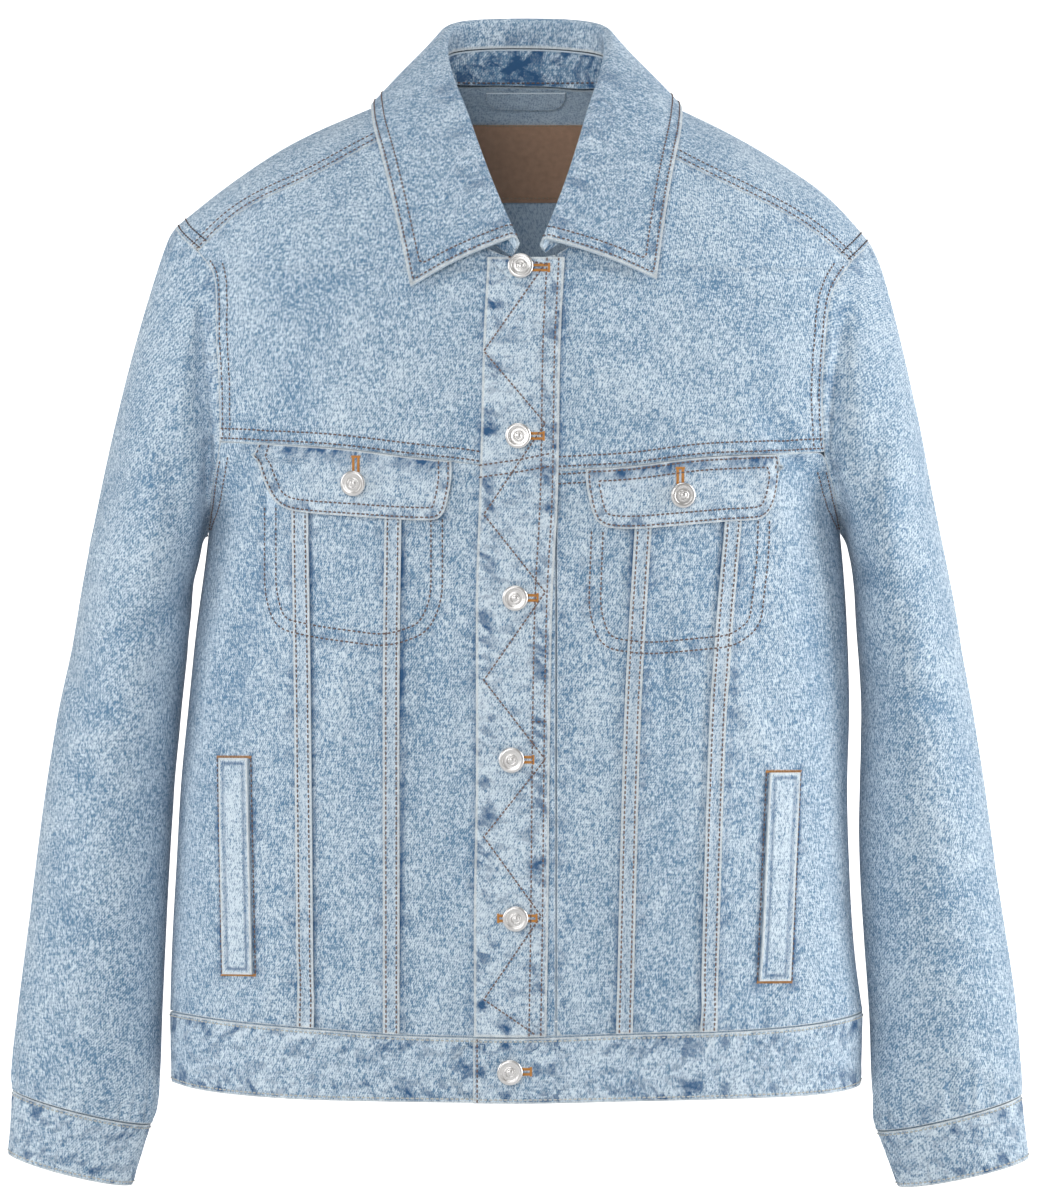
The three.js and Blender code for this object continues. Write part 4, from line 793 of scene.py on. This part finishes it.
carriersOf = {
    "placket": frontCloth, "welt_left": frontCloth, "welt_right": frontCloth,
    "seam_strip_left_outer": frontCloth, "seam_strip_left_inner": frontCloth,
    "seam_strip_right_inner": frontCloth, "seam_strip_right_outer": frontCloth,
    "pocket_flap_left": frontCloth + ["seam_strip_left_outer", "seam_strip_left_inner"],
    "pocket_flap_right": frontCloth + ["seam_strip_right_inner", "seam_strip_right_outer"],
}
order = sorted(clothPieces, key=lambda name: len(carriersOf.get(name, ())))
for name in order:
    settings = clothPieces[name]
    outside = denims[washOf[name]]
    inside = denims["denimReverse"]
    if name == "collar_stand":
        inside = outside
    cloth = makeCloth(name, settings, [outside, inside, wornRim], carriersOf.get(name, ()))
    area = sum(face.area for face in cloth.data.polygons) / 2
    width, length = settings["cut"]
    settings.get("held", "hung")
    print("cloth", name, len(cloth.data.polygons), "faces, area share", round(area / width / length, 2))

# Leather label inside the back


def makeLabel():
    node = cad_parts["label"]
    piece = bpy.data.objects.new("leather_label", node.data.copy())
    scene.collection.objects.link(piece)
    piece.data.transform(node.matrix_world)
    built = bmesh.new()
    built.from_mesh(piece.data)
    bmesh.ops.remove_doubles(built, verts=built.verts, dist=0.002 * mm)
    built.to_mesh(piece.data)
    built.free()
    rounding = piece.modifiers.new("rounding", "BEVEL")
    rounding.width = 0.35 * mm
    rounding.segments = 2
    rounding.angle_limit = math.radians(50)
    applyModifiers(piece)
    piece.data.materials.clear()
    piece.data.materials.append(leather)
    activate(piece)
    bpy.ops.object.shade_smooth_by_angle(angle=math.radians(40))
    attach(piece, "root")
    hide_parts("label")
    finished["label"] = surfaceOf(piece)
    return piece


makeLabel()

# Stitches

stitch = dict(length=2.6, pitch=3.3, radius=0.52)


# A short thread with pointed ends: length along x, thickness along z
def oneStitch(length, radius):
    rings = 4
    points = [(-0.5 * length, 0, -0.6 * radius), (0.5 * length, 0, -0.6 * radius)]
    for along in (-0.28, 0.28):
        for turn in range(rings):
            angle = 2 * math.pi / rings * turn
            points.append((along * length, math.cos(angle) * radius, (math.sin(angle) + 0.2) * radius))
    faces = []
    for turn in range(rings):
        a, b = 2 + turn, 2 + (turn + 1) % rings
        faces.append((a, b, b + rings, a + rings))
        faces.append((0, b, a))
        faces.append((1, a + rings, b + rings))
    return np.array(points), faces


stitchRuns = {"brown": [], "pale": [], "orange": [], "tan": []}


def placeStitch(thread, middle, along, normal, length=None, radius=None):
    stitchRuns[thread].append((np.array(middle), np.array(along), np.array(normal),
                               length or stitch["length"], radius or stitch["radius"]))


# Stitches along a line in mm, each set on the nearest of some surfaces
def layStitches(thread, line, trees, pitch=None, skip=None):
    pitch = pitch or stitch["pitch"]
    gaps = np.linalg.norm(np.diff(line, axis=0), axis=1)
    reached = np.concatenate([[0], np.cumsum(gaps)])
    count = int(reached[-1] // pitch)
    if count < 1:
        return
    at = (np.arange(count) + 0.5) * reached[-1] / count
    places = np.stack([np.interp(at, reached, line[:, k]) for k in range(3)], axis=1)
    later = np.minimum(at + 0.8, reached[-1])
    earlier = np.maximum(at - 0.8, 0)
    ahead = np.stack([np.interp(later, reached, line[:, k]) for k in range(3)], axis=1)
    behind = np.stack([np.interp(earlier, reached, line[:, k]) for k in range(3)], axis=1)
    for place, way in zip(places, ahead - behind):
        if skip is not None and skip(place):
            continue
        best = None
        for tree in trees:
            found = tree.find_nearest(Vector(place * mm), 6 * mm)
            if found[0] is not None and (best is None or found[3] < best[3]):
                best = found
        if best is None:
            continue
        placeStitch(thread, np.array(best[0]) / mm, way, best[1])


# Points (x, z) seen from the front, dropped onto the first cloth they meet
def projected(points, names):
    places, found = [], []
    for x, z in points:
        best = None
        for name in names:
            hit = finished[name].ray_cast(Vector((x * mm, -0.2, z * mm)), Vector((0, 1, 0)), 0.3)
            if hit[0] is not None and (best is None or hit[0].y < best[0].y):
                best = hit
        if best is not None:
            places.append(np.array(best[0]) / mm)
            found.append(np.array(best[1]))
    return np.array(places), np.array(found)


# Stitches along a path given as (x, z), seen from the front
def stitchPath(thread, points, names, pitch=None):
    path = np.array(points, dtype=float)
    gaps = np.hypot(*np.diff(path, axis=0).T)
    reached = np.concatenate([[0], np.cumsum(gaps)])
    pitch = pitch or stitch["pitch"]
    count = max(1, int(reached[-1] // pitch))
    at = (np.arange(count) + 0.5) * reached[-1] / count
    middle = np.stack([np.interp(at, reached, path[:, k]) for k in range(2)], axis=1)
    ahead = np.stack([np.interp(at + 0.8, reached, path[:, k]) for k in range(2)], axis=1)
    for place, after in zip(middle, ahead):
        spots, normals = projected([place, after], names)
        if len(spots) == 2:
            placeStitch(thread, spots[0], spots[1] - spots[0], normals[0])


# A path with its corners cut to arcs
def roundedPath(points, radius):
    path = [np.array(points[0], dtype=float)]
    for before, corner, after in zip(points[:-2], points[1:-1], points[2:]):
        corner = np.array(corner, dtype=float)
        back = np.array(before) - corner
        on = np.array(after) - corner
        reach = min(radius, np.linalg.norm(back) * 0.45, np.linalg.norm(on) * 0.45)
        first = corner + back / np.linalg.norm(back) * reach
        last = corner + on / np.linalg.norm(on) * reach
        for share in np.linspace(0, 1, 7):
            path.append(first * (1 - share) ** 2 + corner * 2 * share * (1 - share) + last * share ** 2)
    path.append(np.array(points[-1], dtype=float))
    return np.array(path)


# Where a piece's surface lies at a distance from some of its sides, as lines of points
def contour(name, lines, distance):
    piece = bpy.data.objects["cloth_" + name]
    count = shellCounts[name]
    points = pointsOf(piece)[:count]
    off = np.full(count, 1e9)
    for line in lines:
        off = np.minimum(off, nearestOn(points, line)[0])
    segments = []
    for face in piece.data.polygons:
        ids = face.vertices
        if max(ids) >= count:
            continue
        values = [off[i] - distance for i in ids]
        if min(values) > 0 or max(values) < 0:
            continue
        crossings = []
        for k in range(len(ids)):
            a, b = values[k], values[(k + 1) % len(ids)]
            if (a < 0) != (b < 0):
                share = a / (a - b)
                key = tuple(sorted((ids[k], ids[(k + 1) % len(ids)])))
                after = points[ids[(k + 1) % len(ids)]]
                crossings.append((key, points[ids[k]] * (1 - share) + after * share))
        if len(crossings) == 2:
            segments.append(crossings)
    joined = {}
    for (keyA, pointA), (keyB, pointB) in segments:
        joined.setdefault(keyA, []).append((keyB, pointB))
        joined.setdefault(keyB, []).append((keyA, pointA))
    where = {}
    for (keyA, pointA), (keyB, pointB) in segments:
        where[keyA] = pointA
        where[keyB] = pointB
    left = set(where)
    lines = []
    starts = [key for key in where if len(joined[key]) == 1] + list(where)
    for start in starts:
        if start not in left:
            continue
        line = []
        here = start
        while here is not None and here in left:
            left.discard(here)
            line.append(where[here])
            here = next((key for key, _ in joined[here] if key in left), None)
        if len(line) > 3:
            lines.append(np.array(line))
    return lines


shellCounts = {}
for name in clothPieces:
    shellCounts[name] = len(bpy.data.objects["cloth_" + name].data.vertices) // 2


def seam(thread, name, sides, distances, skip=None):
    lines = [sideNear(sidesOf[name], place) for place in sides]
    for distance in distances:
        for line in contour(name, lines, distance):
            layStitches(thread, line, [finished[name]], skip=skip)


twin = (2.4, 8.8)
seam("brown", "front_yoke_left", [(-110, -232)], twin, lambda p: p[0] > -20)
seam("brown", "front_yoke_right", [(110, -236)], twin, lambda p: p[0] < 20)
seam("brown", "front_yoke_left", [(-203, -160)], twin, lambda p: p[2] > -104 or p[2] < -222)
seam("brown", "front_yoke_right", [(205, -160)], twin, lambda p: p[2] > -106 or p[2] < -229)
seam("brown", "front_panel_left", [(-220, -420)], twin, lambda p: p[2] < -284 or p[2] > -236)
seam("brown", "front_panel_right", [(220, -420)], twin, lambda p: p[2] < -284 or p[2] > -244)
seam("brown", "back_yoke", [(0, -158)], twin)
seam("brown", "back_panel", [(-228, -420), (228, -420)], twin, lambda p: p[2] < -284)
for place in ((-150, -54), (150, -58), (-232, -90), (236, -96)):
    seam("brown", "back_yoke", [place], twin)
for name in ("pocket_flap_left", "pocket_flap_right"):
    hand = 1 if name.endswith("right") else -1
    inner, outer = (44, 170.5) if hand > 0 else (-45.5, -172.5)
    seam("brown", name, [(108 * hand, -278), (inner, -246), (outer, -234)], (2.0, 8.4))
seam("brown", "collar_leaf", [(-100, -30), (109, -30), (-40, -105), (50, -105)], (2.8, 9.2),
     lambda p: p[1] < -112 and abs(p[0] - 6) < 12)
stripNames = [name for name in clothPieces if name.startswith("seam_strip")]
for name in stripNames:
    middleZ = -440
    for sign in (-1, 1):
        level = np.array([p for side in sidesOf[name] for p in side if abs(p[2] - middleZ) < 8])
        edgeX = level[:, 0].min() if sign < 0 else level[:, 0].max()
        seam("brown", name, [(edgeX, middleZ)], (2.1,))
seam("pale", "hem_band", [(0, -612)], (2.2,))
seam("pale", "hem_band", [(0, -655)], (2.6,))
seam("brown", "hem_band", [(-31, -640)], (2.6,))
cuffEnds = (("cuff_left", (-294, -670), (-302, -711)), ("cuff_right", (288, -673), (297, -713)))
for name, top, bottom in cuffEnds:
    seam("pale", name, [top], (2.2,))
    seam("pale", name, [bottom], (2.6,))
seam("brown", "placket", [(20, -360)], (3.8, 11.6))
print("contour stitches", {key: len(value) for key, value in stitchRuns.items()})

frontPieces = frontCloth + stripNames + ["placket", "hem_band", "welt_left", "welt_right",
                                         "pocket_flap_left", "pocket_flap_right"]
# Chest pockets: two rows from one end of the flap round the bottom to the other
for line in pocketLines:
    outline = roundedPath(line, 20)
    middle = outline.mean(0)
    stitchPath("brown", outline, frontPieces)
    ways = np.gradient(outline, axis=0)
    side = np.stack([ways[:, 1], -ways[:, 0]], axis=1) / np.linalg.norm(ways, axis=1)[:, None]
    inward = side if np.sum((middle - outline) * side) > 0 else -side
    stitchPath("brown", outline + inward * 7.6, frontPieces)

# The stand shows its inner face, between two rows
finished["collar_stand"] = surfaceOf(bpy.data.objects["cloth_collar_stand"])
for level in (40.5, 17.5):
    stitchPath("brown", [(-46, level), (57, level)], ["collar_stand"])

for level in (3.8, 5.0):
    stitchPath("pale", [(-21, level), (29, level)], ["hanger_loop"])

# The plain zigzag down the placket, turning points from the top
zigzag = [(-20, -100), (16.7, -107), (-24, -165), (16.7, -213), (-24, -273.5), (16.7, -325), (-24, -383.5),
          (16.7, -436), (-24, -487.5), (14, -540), (-24, -595.6), (10, -619)]
stitchPath("brown", zigzag, ["placket"], pitch=3.0)
stitchPath("brown", [(-28, -249), (0, -245), (20, -241.5)], ["placket"])
stitchPath("brown", [(-28, -241), (0, -237), (20, -233)], ["placket"])
stitchPath("brown", [(6.7, -411), (18.5, -411)], ["placket"])

# Hand pockets: stitched all round, with bar tacks across both ends
weltBoxes = [
    dict(topX=-190.5, topZ=-435.5, bottomX=-187.5, bottomZ=-579.5, width=19.5),
    dict(topX=175.5, topZ=-445, bottomX=169.5, bottomZ=-584, width=20),
]
for box in weltBoxes:
    halfWide = box["width"] / 2 + 1.6
    for sign in (-1, 1):
        stitchPath("brown", [(box["topX"] + sign * halfWide, box["topZ"]),
                             (box["bottomX"] + sign * halfWide, box["bottomZ"])], frontPieces)
    for endX, endZ, lift in ((box["topX"], box["topZ"], 0.6), (box["bottomX"], box["bottomZ"], -0.6)):
        for step in np.linspace(-1, 1, 30):
            place = (endX + step * halfWide, endZ + lift)
            spots, normals = projected([place, (place[0] + 0.4, place[1] + 2)], frontPieces)
            if len(spots) == 2:
                placeStitch("orange", spots[0], spots[1] - spots[0], normals[0], length=2.6, radius=0.36)

# Buttonholes beside the placket buttons and above the flap buttons
buttonholes = [
    dict(x=0.3, z=-109.4, reach=19, turn=0), dict(x=-1.3, z=-221.4, reach=17, turn=0),
    dict(x=-3.3, z=-328.8, reach=15, turn=0), dict(x=-5.7, z=-436.2, reach=14.5, turn=0),
    dict(x=-3, z=-541.6, reach=14, turn=0), dict(x=-6.7, z=-643.7, reach=14, turn=0),
    dict(x=-3, z=-541.6, reach=11.5, turn=180), dict(x=-109, z=-252.5, reach=17.5, turn=90),
    dict(x=106.4, z=-260.1, reach=17.5, turn=90),
]
for hole in buttonholes:
    turn = math.radians(hole["turn"])
    onward = np.array([math.cos(turn), math.sin(turn)])
    aside = np.array([-onward[1], onward[0]])
    middle = np.array([hole["x"], hole["z"]])
    for distance in np.arange(4, hole["reach"], 0.62):
        for sign in (-1, 1):
            place = middle + onward * distance + aside * sign * 1.7
            spots, normals = projected([place, place + aside * sign * 0.5], frontPieces)
            if len(spots) == 2:
                placeStitch("orange", spots[0], spots[1] - spots[0], normals[0], length=2.3, radius=0.36)
    for step in np.linspace(-1, 1, 9):
        place = middle + onward * hole["reach"] + aside * step * 2.8
        spots, normals = projected([place, place + onward * 0.5], frontPieces)
        if len(spots) == 2:
            placeStitch("orange", spots[0], spots[1] - spots[0], normals[0], length=2.0, radius=0.36)

# Stitches along the label's top and bottom edges, on its face towards the viewer
labelEdge = dict(left=-36.5, right=46.5, top=-10.6, bottom=-58.8)
for first, last in (((labelEdge["left"], labelEdge["top"]), (labelEdge["right"], labelEdge["top"])),
                    ((labelEdge["left"], labelEdge["bottom"]), (labelEdge["right"], labelEdge["bottom"]))):
    stitchPath("tan", [first, last], ["label"], pitch=2.6)

# Each thread's stitches become one mesh
for thread, runs in stitchRuns.items():
    if not runs:
        continue
    vertices, faces = [], []
    for middle, way, normal, length, radius in runs:
        form, sides = oneStitch(length, radius)
        up = normal / np.linalg.norm(normal)
        forward = way - up * (way @ up)
        size = np.linalg.norm(forward)
        if size < 1e-6:
            continue
        forward = forward / size
        side = np.cross(up, forward)
        placed = middle + form[:, :1] * forward + form[:, 1:2] * side + (form[:, 2:] + radius * 0.35) * up
        start = len(vertices) * len(form)
        vertices.append(placed * mm)
        faces.extend([tuple(i + start for i in face) for face in sides])
    mesh = bpy.data.meshes.new("stitches_" + thread)
    mesh.from_pydata(np.concatenate(vertices).tolist(), [], faces)
    mesh.materials.append(threads[thread])
    stitches = bpy.data.objects.new("stitches_" + thread, mesh)
    scene.collection.objects.link(stitches)
    built = bmesh.new()
    built.from_mesh(mesh)
    bmesh.ops.recalc_face_normals(built, faces=built.faces)
    built.to_mesh(mesh)
    built.free()
    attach(stitches, "root")
    print("stitches", thread, len(runs))

# Shank buttons: a disc whose face is shaped ring by ring with inset
buttonForm = dict(radius=8.5, back=1.5, depth=1.7, sides=40)
buttonRings = [(0.45, 0.45), (0.6, 0.35), (0.5, 0.05), (0.9, -0.1), (0.35, -0.4), (0.3, -0.1), (1.7, 0.0),
               (0.3, 0.35),
               (0.35, 0.1), (0.3, -0.35), (0.5, -0.05), (0.3, 0.4), (0.6, 0.35), (0.5, 0.15)]


def makeButton():
    deselectAll()
    bpy.ops.mesh.primitive_cylinder_add(vertices=buttonForm["sides"], radius=buttonForm["radius"] * mm,
                                        depth=buttonForm["depth"] * mm,
                                        location=(0, 0, (buttonForm["back"] + buttonForm["depth"] / 2) * mm))
    button = bpy.context.object
    bpy.ops.object.transform_apply(location=True, rotation=True, scale=True)
    bpy.ops.object.mode_set(mode="EDIT")
    bpy.ops.mesh.select_all(action="DESELECT")
    bpy.ops.object.mode_set(mode="OBJECT")
    top = max(button.data.polygons, key=lambda face: face.center.z)
    for vertex in button.data.vertices:
        vertex.select = False
    for edge in button.data.edges:
        edge.select = False
    for face in button.data.polygons:
        face.select = False
    top.select = True
    bpy.ops.object.mode_set(mode="EDIT")
    bpy.ops.mesh.select_mode(type="FACE")
    for thickness, depth in buttonRings:
        bpy.ops.mesh.inset(thickness=thickness * mm, depth=depth * mm)
    bpy.ops.object.mode_set(mode="OBJECT")
    deselectAll()
    bpy.ops.mesh.primitive_cylinder_add(vertices=20, radius=3.4 * mm, depth=2.2 * mm,
                                        location=(0, 0, 1.1 * mm))
    shank = bpy.context.object
    bpy.ops.object.transform_apply(location=True, rotation=True, scale=True)
    button.select_set(True)
    bpy.context.view_layer.objects.active = button
    bpy.ops.object.join()
    rounding = button.modifiers.new("rounding", "BEVEL")
    rounding.width = 0.12 * mm
    rounding.segments = 2
    rounding.angle_limit = math.radians(25)
    applyModifiers(button)
    return button


model = makeButton()
model.data.materials.append(buttonSteel)
for name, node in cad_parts.items():
    if not name.startswith("button_"):
        continue
    corners = np.array([tuple(node.matrix_world @ v.co) for v in node.data.vertices]) / mm
    middle = corners.mean(0)
    spread = np.linalg.svd(corners - middle)[2][2]
    axis = spread if spread[1] < 0 else -spread
    back = (corners @ axis).min()
    seat = middle + axis * (back - middle @ axis)
    spots, normals = projected([(seat[0], seat[2])], frontPieces)
    gap = max(0.0, (spots[0] - seat) @ axis + 0.15) if len(spots) else 0.0
    button = bpy.data.objects.new("metal_" + name, model.data.copy())
    scene.collection.objects.link(button)
    turn = Vector((0, 0, 1)).rotation_difference(Vector(axis)).to_matrix().to_4x4()
    turn.translation = Vector((seat + axis * gap) * mm)
    button.data.transform(turn)
    activate(button)
    bpy.ops.object.shade_smooth_by_angle(angle=math.radians(35))
    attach(button, "root")
    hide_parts(name)
bpy.data.objects.remove(model)
print("buttons done")

# Floor, light and camera

studio = dict(floorZ=-0.86, floorSize=6.4, cardY=60.0, cardSize=14.0)


# The card stands far behind, past the turn of the camera, and only whitens the background
def makeStudio():
    deselectAll()
    bpy.ops.mesh.primitive_plane_add(size=studio["floorSize"], location=(0, 0, studio["floorZ"]))
    floor = bpy.context.object
    floor.name = "studioFloor"
    floor.data.materials.append(plainMaterial("paperWhite", (0.92, 0.92, 0.92, 1), 0.9, grainScale=3.0,
                                              grainAmount=0.01))
    deselectAll()
    bpy.ops.mesh.primitive_plane_add(size=studio["cardSize"], location=(0, studio["cardY"], -0.3),
                                     rotation=(math.pi / 2, 0, 0))
    card = bpy.context.object
    card.name = "backgroundCard"
    glow = bpy.data.materials.new("backgroundWhite")
    glow.use_nodes = True
    shader = glow.node_tree.nodes["Principled BSDF"]
    shader.inputs["Base Color"].default_value = (1, 1, 1, 1)
    shader.inputs["Emission Color"].default_value = (1, 1, 1, 1)
    shader.inputs["Emission Strength"].default_value = 1.2
    card.data.materials.append(glow)
    floor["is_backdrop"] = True
    card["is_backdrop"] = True


makeStudio()


def softLight(name, place, target, size, power, tint=(1, 1, 1)):
    data = bpy.data.lights.new(name, "AREA")
    data.shape = "RECTANGLE"
    data.size, data.size_y = size
    data.energy = power
    data.color = tint
    lamp = bpy.data.objects.new(name, data)
    lamp.location = place
    lamp.rotation_euler = (Vector(target) - Vector(place)).to_track_quat("-Z", "Y").to_euler()
    scene.collection.objects.link(lamp)


softLight("sideRight", (2.4, -0.2, 0.1), (0.0, 0, -0.35), (0.9, 2.2), 40)
softLight("sideLeft", (-2.3, -0.6, 0.4), (0.0, 0, -0.35), (0.9, 1.8), 17)
softLight("overhead", (0.0, -1.0, 2.2), (0, 0, -0.3), (1.6, 1.0), 11)
softLight("frontFill", (-0.8, -3.2, 0.5), (0, 0, -0.33), (1.6, 1.6), 28)
softLight("backFill", (0.9, 3.0, 0.6), (0, 0, -0.33), (2.0, 2.0), 38)
world = bpy.data.worlds.new("studioAir")
scene.world = world
world.use_nodes = True
world.node_tree.nodes["Background"].inputs[0].default_value = (1, 1, 1, 1)
world.node_tree.nodes["Background"].inputs[1].default_value = 0.34
scene.view_settings.view_transform = "Standard"

view = dict(distance=12.0, frontY=-0.06, middleZ=-0.3302, frameHeight=0.8004)
cameraData = bpy.data.cameras.new("camera")
cameraData.sensor_fit = "VERTICAL"
cameraData.sensor_height = 36
cameraData.lens = 36 * view["distance"] / view["frameHeight"]
cameraData.clip_end = 120
camera = bpy.data.objects.new("camera", cameraData)
camera.location = (0, view["frontY"] - view["distance"], view["middleZ"])
camera.rotation_euler = (math.pi / 2, 0, 0)
scene.collection.objects.link(camera)
scene.camera = camera

{"cad": plain(cadBounds), "visual": plain(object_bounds())}
